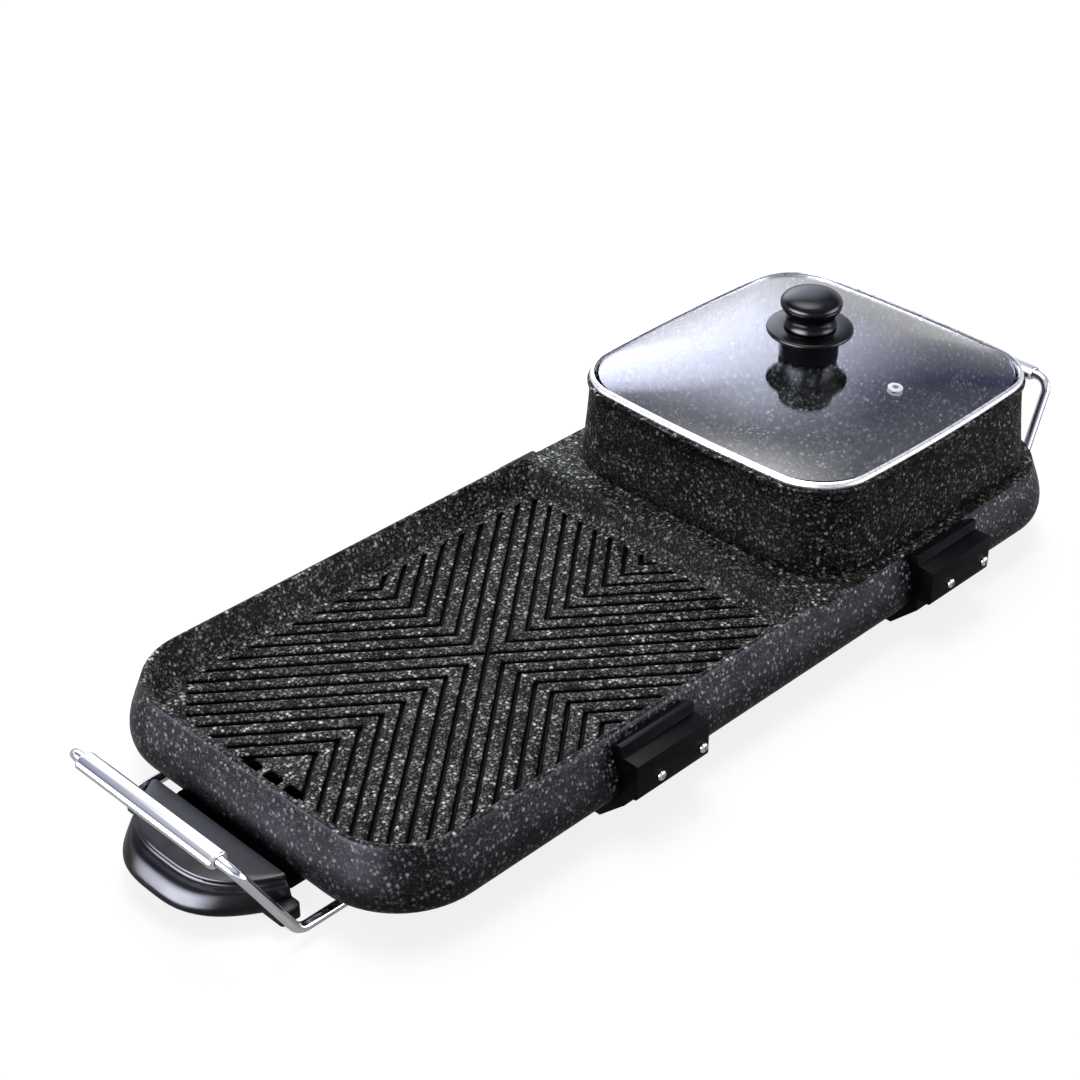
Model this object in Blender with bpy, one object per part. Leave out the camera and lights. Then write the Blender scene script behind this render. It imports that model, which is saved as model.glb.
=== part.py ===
"""Electric grill pan with a lift-off hot pot, a glass lid and a drip tray.

Metres, +Z up. The origin is on the table, under the middle of the pan.
The grill end points to -X, the pot end to +X, the inlet side to +Y.
"""

import math

import bmesh
import bpy
from mathutils import Vector

# Pan casting: a ribbed grill basin and a square well in one outer wall that bulges
PAN_LENGTH = 0.570
PAN_WIDTH = 0.235
PAN_CORNER = 0.046
RIM_HEIGHT = 0.057
RIM_WIDTH = 0.003
WALL_BULGE = 0.009
SKIRT_BOTTOM = 0.017
SKIRT_WALL = 0.0035
FLOOR_HEIGHT = 0.0385
FLOOR_THICK = 0.009
BASIN_INSET = 0.0145
BASIN_WALL = 0.003
BASIN_END_CORNER = 0.011
DRAIN_LENGTH = 0.012
DRAIN_WIDTH = 0.0075
DRAIN_PITCH = 0.0167
DRAIN_INSET = 0.0185
DRAIN_COUNT = 3
DRAIN_WINDOW_EDGE = 0.0080

# Grill ribs: four quarters of parallel grooves that meet in chevrons on the centre lines
RIB_PITCH = 0.0101
RIB_ANGLE = math.radians(39)
GROOVE_WIDTH = 0.0032
GROOVE_BOTTOM = 0.0018
GROOVE_DEPTH = 0.0035
GROOVE_MARGIN = 0.003
CHEVRON_CLEARANCE = 0.0150
PATTERN_OFFSET = 0.012

# Land and well that carry the pot
BULKHEAD_LEDGE = 0.0175
BULKHEAD_SLOPE = 0.009
LAND_HEIGHT = 0.0526
WELL_FLOOR = 0.0355
WELL_CLEARANCE = 0.0010

# Hot pot: its skirt stands just inside the land's edges, and its wall draws in to the lid
POT_SKIRT_LENGTH = 0.225
POT_END_EDGE = 0.002
POT_SIDE_EDGE = 0.005
POT_END_TAPER = 0.0014
POT_SIDE_TAPER = 0.0050
POT_SKIRT_CORNER = 0.046
POT_TOP = 0.108
POT_WALL = 0.003
POT_PLUG_INSET = 0.008
POT_PLUG_CORNER = 0.034
POT_BOTTOM_ROUND = 0.005

# Lid, whose sides bow out
LID_CORNER = 0.034
LID_BOW = 0.0042
LID_BAND = 0.0048
LID_LIP = 0.0027
LID_OVERHANG = 0.0006
LID_SHEET = 0.0007
GLASS_THICK = 0.0028
GLASS_DOME = 0.0120
VENT_REACH = 0.0615
VENT_SIDE = 0.0085
VENT_OUTER = 0.0048
VENT_NECK = 0.0034
VENT_HOLE = 0.0020
VENT_FLANGE = 0.0010

# Knob
KNOB_DRUM_RADIUS = 0.0185
KNOB_DRUM_HEIGHT = 0.0165
KNOB_GUARD_RADIUS = 0.0270
KNOB_GUARD_THICK = 0.0030
KNOB_NECK_RADIUS = 0.0150
KNOB_CAP_RADIUS = 0.0192
KNOB_GRIP_HEIGHT = 0.0225
KNOB_SCREW_RADIUS = 0.0020
KNOB_SCREW_HEAD = 0.0045
KNOB_SCREW_HEAD_THICK = 0.0025
KNOB_SCREW_REACH = 0.0280
KNOB_WASHER_RADIUS = 0.0080
KNOB_WASHER_THICK = 0.0010

# Feet: four blocks screwed to the long sides, each with an arm that reaches in to its sole
# The sole's two distances are inwards from the rim's outline, the others outwards
# The blocks of the far pair are lower
FOOT_LENGTH = 0.057
FOOT_GRILL_INSET = 0.1815
FOOT_POT_OFFSET = 0.0175
FOOT_PROUD = 0.0225
FOOT_SHELF_HEIGHT = 0.0485
FOOT_SHELF_DEPTH = 0.0110
FOOT_TOP_HEIGHT = 0.0550
FOOT_TOP_DEPTH = 0.0035
FOOT_BLOCK_BOTTOM = 0.0250
FOOT_CHAMFER = 0.0020
FOOT_ARM_OUT = 0.0130
FOOT_ARM_KNEE = 0.0165
FOOT_SOLE_OUT = 0.0046
FOOT_SOLE_IN = 0.0180
FOOT_SCREW_INNER = -0.0100
FOOT_SCREW_OUTER = 0.0235
FOOT_SCREW_HEIGHT = 0.0330
FOOT_FAR_SHELF_HEIGHT = 0.0355
FOOT_FAR_TOP_HEIGHT = 0.0465
FOOT_FAR_SCREW_HEIGHT = 0.0303
FOOT_SCREW_RADIUS = 0.0015
FOOT_SCREW_HEAD = 0.0030
FOOT_SCREW_HEAD_THICK = 0.0018

# Carrying handles: one bent rod with a flat oval sleeve at each end
BAR_REACH = 0.0655
ROD_RADIUS = 0.0030
ROD_HEIGHT = 0.0080
ROD_SPREAD = 0.0735
ROD_UNDER_PAN = 0.0700
ROD_KNEE = 0.0270
ROD_BEND = 0.0090
BAR_HEIGHT = 0.0630
BAR_SPREAD = 0.0680
SLEEVE_LENGTH = 0.1120
SLEEVE_WIDTH = 0.0130
SLEEVE_HEIGHT = 0.0085
CLAMP_LENGTH = 0.0120
CLAMP_SHEET = 0.0012
CLAMP_FLANGE = 0.0080
CLAMP_INSET = 0.0250

# Bottom cover and its screws
COVER_THICK = 0.0010
COVER_INSET = 0.0010
COVER_RISE = 0.0015
POST_RADIUS = 0.0045
POST_GRILL_INSET = 0.0600
POST_MIDDLE_OFFSET = 0.0505
POST_POT_INSET = 0.0400
POST_SIDE_INSET = 0.0325
SCREW_RADIUS = 0.0015
SCREW_HEAD = 0.0035
SCREW_HEAD_THICK = 0.0020
SCREW_DEPTH = 0.0080

# Drip tray, its runners and its grip
TRAY_LENGTH = 0.0780
TRAY_WIDTH = 0.1000
TRAY_CORNER = 0.0060
TRAY_DEPTH = 0.0110
TRAY_SHEET = 0.0010
TRAY_FLANGE = 0.0050
TRAY_FRONT_GAP = 0.0040
TRAY_DROP = 0.0020
GRIP_WIDTH = 0.1180
GRIP_REACH = 0.0470
GRIP_BROW = 0.0350
GRIP_UNDER = 0.0320
GRIP_BOTTOM = 0.0070
GRIP_NOSE_HEIGHT = 0.0140
GRIP_TOP = 0.0285
GRIP_ROUND = 0.0020
GRIP_POWER = 3.0
FASCIA_WIDTH = 0.1320
FASCIA_DEPTH = 0.0130
FASCIA_TOP = 0.0160
GRIP_SCREW_SPREAD = 0.0300
GRIP_SCREW_HEIGHT = 0.0100
GRIP_SCREW_REACH = 0.0180

# Heaters
HEATER_RADIUS = 0.0033
HEATER_BEND = 0.0180
HEATER_TAIL_INSET = 0.0195
HEATER_TAIL_PITCH = 0.0140
GRILL_HEATER_OFFSET = 0.0130
GRILL_HEATER_END_INSET = 0.0500
GRILL_HEATER_SIDE_INSET = 0.0555
POT_HEATER_OFFSET = 0.0130
POT_HEATER_END_INSET = 0.0450
POT_HEATER_SIDE_INSET = 0.0515
CLIP_LENGTH = 0.0100
CLIP_SHEET = 0.0008
CLIP_FLANGE = 0.0090

# Inlet on the far side, under the bulkhead
INLET_OFFSET = 0.0085
INLET_HEIGHT = 0.0325
INLET_LENGTH = 0.0340
INLET_TALL = 0.0180
INLET_CORNER = 0.0030
INLET_WALL = 0.0020
INLET_FLANGE = 0.0030
INLET_FLANGE_THICK = 0.0020
INLET_PROUD = 0.0090
INLET_DEPTH = 0.0220
INLET_CAVITY = 0.0160
PIN_RADIUS = 0.0020
PIN_SPREAD = 0.0095
PIN_TAIL = 0.0040
PROBE_RADIUS = 0.0032
PROBE_BORE = 0.0022
WIRE_RADIUS = 0.0012

# Shared
GAP = 0.0003
OVERRUN = 0.0200
ARC_STEPS = 6
SMALL_ARC_STEPS = 3
SIDE_STEPS = 4
ROUND_STEPS = 24
SMALL_ROUND_STEPS = 16
TINY_ROUND_STEPS = 12
ROUND_LIMIT_SHARE = 0.92

# The outer wall from the rim down: share of the bulge, share of the wall's height
WALL_SHARES = (
    (0.00, 1.00),
    (0.14, 0.955),
    (0.42, 0.80),
    (0.76, 0.56),
    (0.97, 0.33),
    (1.00, 0.22),
    (0.90, 0.10),
    (0.66, 0.02),
    (0.46, 0.00),
)
# The inner side of the skirt from its foot up: share of the bulge, share of the wall's height
SKIRT_SHARES = (
    (0.66, 0.04),
    (0.97, 0.22),
    (0.76, 0.56),
    (0.50, 0.74),
)
# The basin's outside, under the rim, down to the floor: share of the inset, share of the depth
POCKET_SHARES = (
    (0.15, 0.75),
    (0.40, 0.45),
    (0.78, 0.12),
    (0.95, 0.00),
)
# The basin's inner wall from the floor up: share of the way in from the rim, share of the depth
BASIN_SHARES = (
    (1.00, 0.00),
    (0.72, 0.08),
    (0.52, 0.24),
    (0.00, 1.00),
)

# How far in from the lid's edge the glass's rings lie
DOME_SHARES = (0.16, 0.32, 0.50, 0.68, 0.84)
DOME_POWER = 2.4

COATING = ((0.016, 0.017, 0.018), 0.42, 0.0)
BAKELITE = ((0.008, 0.008, 0.009), 0.22, 0.0)
CHROME = ((0.80, 0.81, 0.83), 0.08, 1.0)
STEEL = ((0.56, 0.57, 0.58), 0.30, 1.0)
GLASS = ((0.62, 0.68, 0.78), 0.05, 0.0)
HEATER_SKIN = ((0.20, 0.19, 0.18), 0.50, 1.0)
TIN_BLACK = ((0.020, 0.020, 0.021), 0.45, 0.3)
BRASS = ((0.70, 0.52, 0.24), 0.30, 1.0)
SILICONE = ((0.45, 0.10, 0.08), 0.60, 0.0)


def clear_scene():
    for obj in list(bpy.data.objects):
        bpy.data.objects.remove(obj, do_unlink=True)


def finish(obj, look):
    """Gives the object its own Principled material."""
    colour, roughness, metallic = look
    material = bpy.data.materials.new(obj.name + "_finish")
    material.use_nodes = True
    shader = material.node_tree.nodes["Principled BSDF"]
    shader.inputs["Base Color"].default_value = (*colour, 1)
    shader.inputs["Roughness"].default_value = roughness
    shader.inputs["Metallic"].default_value = metallic
    obj.data.materials.clear()
    obj.data.materials.append(material)
    return obj


def empty_at(name, place):
    axis = bpy.data.objects.new(name, None)
    bpy.context.collection.objects.link(axis)
    axis.location = place
    return axis


def object_from(name, mesh_maker, parent=None):
    """Links a mesh object whose faces point out, shaded smooth up to 35 degrees."""
    bmesh.ops.recalc_face_normals(mesh_maker, faces=mesh_maker.faces)
    mesh = bpy.data.meshes.new(name)
    mesh_maker.to_mesh(mesh)
    mesh_maker.free()
    mesh.shade_smooth()
    mesh.set_sharp_from_angle(angle=math.radians(35))
    obj = bpy.data.objects.new(name, mesh)
    bpy.context.collection.objects.link(obj)
    obj.parent = parent
    return obj


def add_loft(maker, rings, ring_closed=True, tube=False):
    """Skins equal rings in order. A tube joins the last ring to the first, else both ends are capped."""
    rows = [[maker.verts.new(point) for point in ring] for ring in rings]
    pairs = list(zip(rows, rows[1:]))
    if tube:
        pairs.append((rows[-1], rows[0]))
    for low, high in pairs:
        count = len(low)
        for index in range(count if ring_closed else count - 1):
            after = (index + 1) % count
            maker.faces.new((low[index], low[after], high[after], high[index]))
    if not tube:
        maker.faces.new(rows[0])
        maker.faces.new(rows[-1])


def loft(name, rings, parent=None, tube=False):
    maker = bmesh.new()
    add_loft(maker, rings, tube=tube)
    return object_from(name, maker, parent)


def rounded_ring(half_x, half_y, corner, height, centre=(0, 0), steps=ARC_STEPS, far_corner=None):
    """A rounded rectangle as one ring of points. The two corners at +X may have their own radius."""
    points = []
    for turn in range(4):
        side_x = 1 if turn in (0, 3) else -1
        side_y = 1 if turn in (0, 1) else -1
        radius = far_corner if far_corner and side_x > 0 else corner
        for step in range(steps + 1):
            angle = (turn + step / steps) * math.pi / 2
            x = side_x * (half_x - radius) + radius * math.cos(angle)
            y = side_y * (half_y - radius) + radius * math.sin(angle)
            points.append(Vector((centre[0] + x, centre[1] + y, height)))
    return points


def bowed_ring(half_x, half_y, corner, height, bow):
    """A rounded rectangle whose sides bow out to the half sizes."""
    inner_x, inner_y = half_x - bow, half_y - bow
    plain = rounded_ring(inner_x, inner_y, corner, height)
    points = []
    for index, point in enumerate(plain):
        points.append(point)
        if index % (ARC_STEPS + 1) == ARC_STEPS:
            after = plain[(index + 1) % len(plain)]
            points += [point.lerp(after, step / SIDE_STEPS) for step in range(1, SIDE_STEPS)]
    return [
        Vector(
            (
                point.x * (1 + bow / inner_x * (1 - (point.y / inner_y) ** 2)),
                point.y * (1 + bow / inner_y * (1 - (point.x / inner_x) ** 2)),
                height,
            )
        )
        for point in points
    ]


def circle_ring(radius, height, centre=(0, 0), steps=ROUND_STEPS):
    return [
        Vector(
            (
                centre[0] + radius * math.cos(2 * math.pi * step / steps),
                centre[1] + radius * math.sin(2 * math.pi * step / steps),
                height,
            )
        )
        for step in range(steps)
    ]


def turned(name, profile, parent=None, centre=(0, 0), bored=False, steps=ROUND_STEPS):
    """A turned piece on a vertical axis from (radius, height) pairs; a bored one is a closed ring."""
    rings = [circle_ring(radius, height, centre, steps) for radius, height in profile]
    return loft(name, rings, parent, tube=bored)


def turned_along(name, profile, place, direction, parent=None, bored=False, steps=ROUND_STEPS):
    """A turned piece whose heights run from a place along any direction."""
    tilt = Vector(direction).normalized().to_track_quat("Z", "Y")
    start = Vector(place)
    rings = []
    for radius, height in profile:
        rings.append([start + tilt @ point for point in circle_ring(radius, height, (0, 0), steps)])
    return loft(name, rings, parent, tube=bored)


def prism(name, outline, start, end, axis, parent=None):
    """An outline carried along an axis: its pairs are (y, z) along x, (x, z) along y, (x, y) along z."""
    def point(pair, along):
        if axis == "x":
            return Vector((along, pair[0], pair[1]))
        if axis == "y":
            return Vector((pair[0], along, pair[1]))
        return Vector((pair[0], pair[1], along))

    maker = bmesh.new()
    add_loft(maker, [[point(pair, along) for pair in outline] for along in (start, end)])
    return object_from(name, maker, parent)


def rounded_path(corners, radius, steps=4):
    """The corner points joined by straight runs, each inner corner turned with the given radius."""
    points = [Vector(corners[0])]
    for before, corner, after in zip(corners, corners[1:], corners[2:]):
        before, corner, after = Vector(before), Vector(corner), Vector(after)
        towards = (before - corner).normalized()
        onwards = (after - corner).normalized()
        half = towards.angle(onwards) / 2
        reach = radius / math.tan(half)
        centre = corner + (towards + onwards).normalized() * radius / math.sin(half)
        first = corner + towards * reach - centre
        last = corner + onwards * reach - centre
        for step in range(steps + 1):
            points.append(centre + first.slerp(last, step / steps) * radius)
    points.append(Vector(corners[-1]))
    return points


def tube(name, path, radius, parent=None, resolution=1):
    """A round bar or wire along a path of points."""
    curve = bpy.data.curves.new(name, "CURVE")
    curve.dimensions = "3D"
    curve.bevel_depth = radius
    curve.bevel_resolution = resolution
    curve.use_fill_caps = True
    spline = curve.splines.new("POLY")
    spline.points.add(len(path) - 1)
    for target, place in zip(spline.points, path):
        target.co = (*place, 1)
    obj = bpy.data.objects.new(name, curve)
    bpy.context.collection.objects.link(obj)
    obj.parent = parent
    return obj


def hide_cutter(obj):
    obj.hide_render = True
    obj.display_type = "WIRE"
    return obj


def combine(target, other, operation):
    modifier = target.modifiers.new(other.name, "BOOLEAN")
    modifier.operation = operation
    modifier.solver = "EXACT"
    modifier.object = hide_cutter(other)


def cut(target, cutter):
    combine(target, cutter, "DIFFERENCE")


def join(target, piece):
    combine(target, piece, "UNION")


def wall_height():
    return RIM_HEIGHT - SKIRT_BOTTOM


def pan_ring(outset, height):
    """The pan's outline at a height, set out from the rim's outline."""
    return rounded_ring(PAN_LENGTH / 2 + outset, PAN_WIDTH / 2 + outset, PAN_CORNER + outset, height)


def wall_rings(extra):
    """Rings of the bulged outer wall from the rim down, set out by the extra."""
    return [
        pan_ring(out_share * WALL_BULGE + extra, SKIRT_BOTTOM + up_share * wall_height())
        for out_share, up_share in WALL_SHARES
    ]


def floor_underside():
    return FLOOR_HEIGHT - FLOOR_THICK


def basin_start():
    return -PAN_LENGTH / 2 + BASIN_INSET


def basin_end():
    return bulkhead_x() - BULKHEAD_SLOPE


def basin_half():
    return PAN_WIDTH / 2 - BASIN_INSET


def drain_x():
    return -PAN_LENGTH / 2 + DRAIN_INSET


def pattern_centre():
    return (basin_start() + basin_end()) / 2 + PATTERN_OFFSET


def pot_half_x():
    return POT_SKIRT_LENGTH / 2


def pot_half_y():
    return PAN_WIDTH / 2 - POT_SIDE_EDGE


def pot_x():
    return PAN_LENGTH / 2 - POT_END_EDGE - pot_half_x()


def bulkhead_x():
    """Where the basin's high wall ends and the ledge before the pot begins."""
    return pot_x() - pot_half_x() - BULKHEAD_LEDGE


def lid_half_x():
    return pot_half_x() - POT_END_TAPER


def lid_half_y():
    return pot_half_y() - POT_SIDE_TAPER


def inlet_x():
    return bulkhead_x() + INLET_OFFSET


def make_pan_shell():
    """The outer wall, the rim and the hollow under the basin, before the basin and the well are sunk."""
    pocket_depth = RIM_HEIGHT - floor_underside()
    rings = [
        pan_ring(-share * BASIN_INSET, floor_underside() + up_share * pocket_depth)
        for share, up_share in reversed(POCKET_SHARES)
    ]
    rings += [
        pan_ring(out_share * WALL_BULGE - SKIRT_WALL, SKIRT_BOTTOM + up_share * wall_height())
        for out_share, up_share in reversed(SKIRT_SHARES)
    ]
    rings += reversed(wall_rings(0))
    return loft("base_pan", rings)


def make_basin_cutter():
    """The grill basin: sloping walls with a rounded foot, steeper at the bulkhead, with tight corners."""
    rings = []
    depth = RIM_HEIGHT - FLOOR_HEIGHT
    for inset_share, up_share in BASIN_SHARES:
        inset = RIM_WIDTH + inset_share * (BASIN_INSET - RIM_WIDTH)
        low_x = -PAN_LENGTH / 2 + inset
        high_x = bulkhead_x() - RIM_WIDTH / 2 - inset_share * (BULKHEAD_SLOPE - RIM_WIDTH / 2)
        rings.append(
            rounded_ring(
                (high_x - low_x) / 2,
                PAN_WIDTH / 2 - inset,
                PAN_CORNER - inset,
                FLOOR_HEIGHT + up_share * depth,
                ((high_x + low_x) / 2, 0),
                far_corner=BASIN_END_CORNER,
            )
        )
    rings.append([point + Vector((0, 0, OVERRUN)) for point in rings[-1]])
    return loft("basin_cutter", rings)


def make_land_cutter():
    """Lowers the rim from the bulkhead to the pot end, so that the pot's skirt has a land to stand on."""
    step = RIM_HEIGHT - LAND_HEIGHT
    outline = (
        (bulkhead_x(), LAND_HEIGHT),
        (PAN_LENGTH / 2 + OVERRUN, LAND_HEIGHT),
        (PAN_LENGTH / 2 + OVERRUN, RIM_HEIGHT + OVERRUN),
        (bulkhead_x() - step - OVERRUN, RIM_HEIGHT + OVERRUN),
    )
    side = PAN_WIDTH / 2 + OVERRUN
    return prism("land_cutter", outline, -side, side, "y")


def plug_half_x():
    return pot_half_x() - POT_PLUG_INSET


def plug_half_y():
    return pot_half_y() - POT_PLUG_INSET


def make_well_cutter():
    """The square well that takes the pot's lower body, with a clearance all round."""
    rings = []
    section = ((POT_BOTTOM_ROUND, WELL_FLOOR), (0, WELL_FLOOR + POT_BOTTOM_ROUND), (0, LAND_HEIGHT + OVERRUN))
    for inset, height in section:
        rings.append(
            rounded_ring(
                plug_half_x() + WELL_CLEARANCE - inset,
                plug_half_y() + WELL_CLEARANCE - inset,
                POT_PLUG_CORNER + WELL_CLEARANCE - inset,
                height,
                (pot_x(), 0),
            )
        )
    return loft("well_cutter", rings)


def make_bulkhead_cutter():
    """Hollows the bulkhead from below."""
    low_x = bulkhead_x() + BASIN_WALL
    high_x = pot_x() - plug_half_x() - WELL_CLEARANCE - BASIN_WALL
    half_y = basin_half() - BASIN_WALL
    half_x = (high_x - low_x) / 2
    centre = ((high_x + low_x) / 2, 0)
    rings = [
        rounded_ring(half_x, half_y, half_x / 2, height, centre)
        for height in (floor_underside() - OVERRUN, LAND_HEIGHT - BASIN_WALL)
    ]
    return loft("bulkhead_cutter", rings)


def clear_of_wall(point):
    """Whether a point of the basin's floor is a margin away from its wall."""
    middle_x = (basin_start() + basin_end()) / 2
    corner = BASIN_END_CORNER if point.x > middle_x else PAN_CORNER - BASIN_INSET
    over_x = max(abs(point.x - middle_x) - (basin_end() - basin_start()) / 2 + corner, 0)
    over_y = max(abs(point.y) - basin_half() + corner, 0)
    return math.hypot(over_x, over_y) < corner - GROOVE_MARGIN


def reach_to_margin(start, direction):
    """How far a groove runs from a point until it is a margin away from the basin's wall."""
    low, high = 0, PAN_LENGTH
    for _ in range(40):
        middle = (low + high) / 2
        if clear_of_wall(Vector(start) + Vector(direction) * middle):
            low = middle
        else:
            high = middle
    return low


def band(path, half_width, height):
    """The outline of a line of two or three points at a half width, with a mitred corner."""
    left, right = [], []
    for index, point in enumerate(path):
        before = path[max(index - 1, 0)]
        after = path[min(index + 1, len(path) - 1)]
        into = (point - before).normalized() if index else (after - point).normalized()
        out = (after - point).normalized() if index < len(path) - 1 else into
        normal_in = Vector((-into.y, into.x))
        normal_out = Vector((-out.y, out.x))
        mitre = (normal_in + normal_out).normalized()
        offset = mitre * half_width / mitre.dot(normal_in)
        left.append(point + offset)
        right.append(point - offset)
    return [Vector((point.x, point.y, height)) for point in left + right[::-1]]


def groove_rings(path):
    """A groove with sloping sides, from its flat bottom to above the ribs."""
    slope = (GROOVE_WIDTH - GROOVE_BOTTOM) / 2 / GROOVE_DEPTH
    top_half = GROOVE_WIDTH / 2 + slope * GROOVE_DEPTH
    return [
        band(path, GROOVE_BOTTOM / 2, FLOOR_HEIGHT - GROOVE_DEPTH),
        band(path, top_half, FLOOR_HEIGHT + GROOVE_DEPTH),
    ]


def chevron_path(tip, directions):
    ends = [tip + direction * reach_to_margin(tip, direction) for direction in directions]
    return [ends[0], tip, ends[1]]


def make_chevron_cutter():
    """All grooves but the two diagonals: chevrons whose tips lie on the pattern's centre lines."""
    maker = bmesh.new()
    cosine, sine = math.cos(RIB_ANGLE), math.sin(RIB_ANGLE)
    centre_x = pattern_centre()
    step_x, step_y = RIB_PITCH / sine, RIB_PITCH / cosine
    drain_side = centre_x - drain_x() - DRAIN_WIDTH / 2 - CHEVRON_CLEARANCE
    bulkhead_side = basin_end() - centre_x - GROOVE_MARGIN
    for side, space in ((-1, drain_side), (1, bulkhead_side)):
        for number in range(1, int(space / step_x) + 1):
            tip = Vector((centre_x + side * number * step_x, 0))
            arms = (Vector((side * cosine, sine)), Vector((side * cosine, -sine)))
            add_loft(maker, groove_rings(chevron_path(tip, arms)))
        for number in range(1, int((basin_half() - GROOVE_MARGIN) / step_y) + 1):
            tip = Vector((centre_x, side * number * step_y))
            arms = (Vector((cosine, side * sine)), Vector((-cosine, side * sine)))
            add_loft(maker, groove_rings(chevron_path(tip, arms)))
    return object_from("chevron_cutter", maker)


def make_diagonal_cutter(name, rise):
    centre = Vector((pattern_centre(), 0))
    along = Vector((math.cos(RIB_ANGLE), rise * math.sin(RIB_ANGLE)))
    ends = [centre + way * reach_to_margin(centre, way) for way in (along, -along)]
    return loft(name, groove_rings(ends))


def make_drain_cutter():
    maker = bmesh.new()
    x = drain_x()
    for number in range(DRAIN_COUNT):
        y = (number - (DRAIN_COUNT - 1) / 2) * DRAIN_PITCH
        corner = DRAIN_WIDTH / 3
        add_loft(
            maker,
            [
                rounded_ring(DRAIN_WIDTH / 2, DRAIN_LENGTH / 2, corner, height, (x, y), SMALL_ARC_STEPS)
                for height in (floor_underside() - OVERRUN, FLOOR_HEIGHT + OVERRUN)
            ],
        )
    return object_from("drain_cutter", maker)


def post_places():
    places_x = (
        -PAN_LENGTH / 2 + POST_GRILL_INSET,
        bulkhead_x() - POST_MIDDLE_OFFSET,
        PAN_LENGTH / 2 - POST_POT_INSET,
    )
    y = PAN_WIDTH / 2 - POST_SIDE_INSET
    return [(x, side * y) for x in places_x for side in (-1, 1)]


def cover_top():
    return SKIRT_BOTTOM + COVER_RISE + COVER_THICK


def make_posts():
    """Six bosses under the floor that take the cover's screws."""
    maker = bmesh.new()
    for place in post_places():
        rings = [
            circle_ring(POST_RADIUS, height, place, TINY_ROUND_STEPS)
            for height in (cover_top() + GAP, floor_underside() + BASIN_WALL)
        ]
        add_loft(maker, rings)
    return object_from("cover_posts", maker)


def make_screw_holes():
    maker = bmesh.new()
    for place in post_places():
        rings = [
            circle_ring(SCREW_RADIUS + GAP, height, place, TINY_ROUND_STEPS)
            for height in (SKIRT_BOTTOM - OVERRUN, cover_top() + SCREW_DEPTH)
        ]
        add_loft(maker, rings)
    return object_from("screw_holes", maker)


def foot_places():
    """Each foot's name, its middle along the pan and its side."""
    return [
        ("foot_" + side_name + "_" + end_name, x, side)
        for side_name, side in (("near", -1), ("far", 1))
        for end_name, x in (
            ("grill", -PAN_LENGTH / 2 + FOOT_GRILL_INSET),
            ("pot", pot_x() - FOOT_POT_OFFSET),
        )
    ]


def foot_screw_places():
    return [
        (name + "_screw_" + which, x + offset, side)
        for name, x, side in foot_places()
        for which, offset in (("a", FOOT_SCREW_INNER), ("b", FOOT_SCREW_OUTER))
    ]


def foot_face():
    return PAN_WIDTH / 2 + FOOT_PROUD


def foot_screw_height(side):
    return FOOT_SCREW_HEIGHT if side < 0 else FOOT_FAR_SCREW_HEIGHT


def make_foot_screw_holes():
    """Holes through the feet and the pan's wall behind them."""
    maker = bmesh.new()
    for _, x, side in foot_screw_places():
        rings = []
        for along in (PAN_WIDTH / 2 - SKIRT_WALL, foot_face() + OVERRUN):
            ring = circle_ring(FOOT_SCREW_RADIUS + GAP, 0, (0, 0), TINY_ROUND_STEPS)
            height = foot_screw_height(side)
            rings.append([Vector((x + point.x, side * along, height + point.y)) for point in ring])
        add_loft(maker, rings)
    return object_from("foot_screw_holes", maker)


def make_inlet_opening():
    half_x = INLET_LENGTH / 2 + GAP
    half_z = INLET_TALL / 2 + GAP
    ring = rounded_ring(half_x, half_z, INLET_CORNER, 0)
    rings = [
        [Vector((inlet_x() + point.x, along, INLET_HEIGHT + point.y)) for point in ring]
        for along in (PAN_WIDTH / 2 - BASIN_WALL, PAN_WIDTH / 2 + OVERRUN)
    ]
    return loft("inlet_opening", rings)


def make_base_pan(screw_holes, foot_holes):
    pan = make_pan_shell()
    for cutter in (make_land_cutter(), make_basin_cutter(), make_well_cutter(), make_bulkhead_cutter()):
        cut(pan, cutter)
    cut(pan, make_chevron_cutter())
    cut(pan, make_diagonal_cutter("diagonal_cutter_a", 1))
    cut(pan, make_diagonal_cutter("diagonal_cutter_b", -1))
    cut(pan, make_drain_cutter())
    join(pan, make_posts())
    cut(pan, screw_holes)
    cut(pan, foot_holes)
    cut(pan, make_inlet_opening())
    return finish(pan, COATING)


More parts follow.
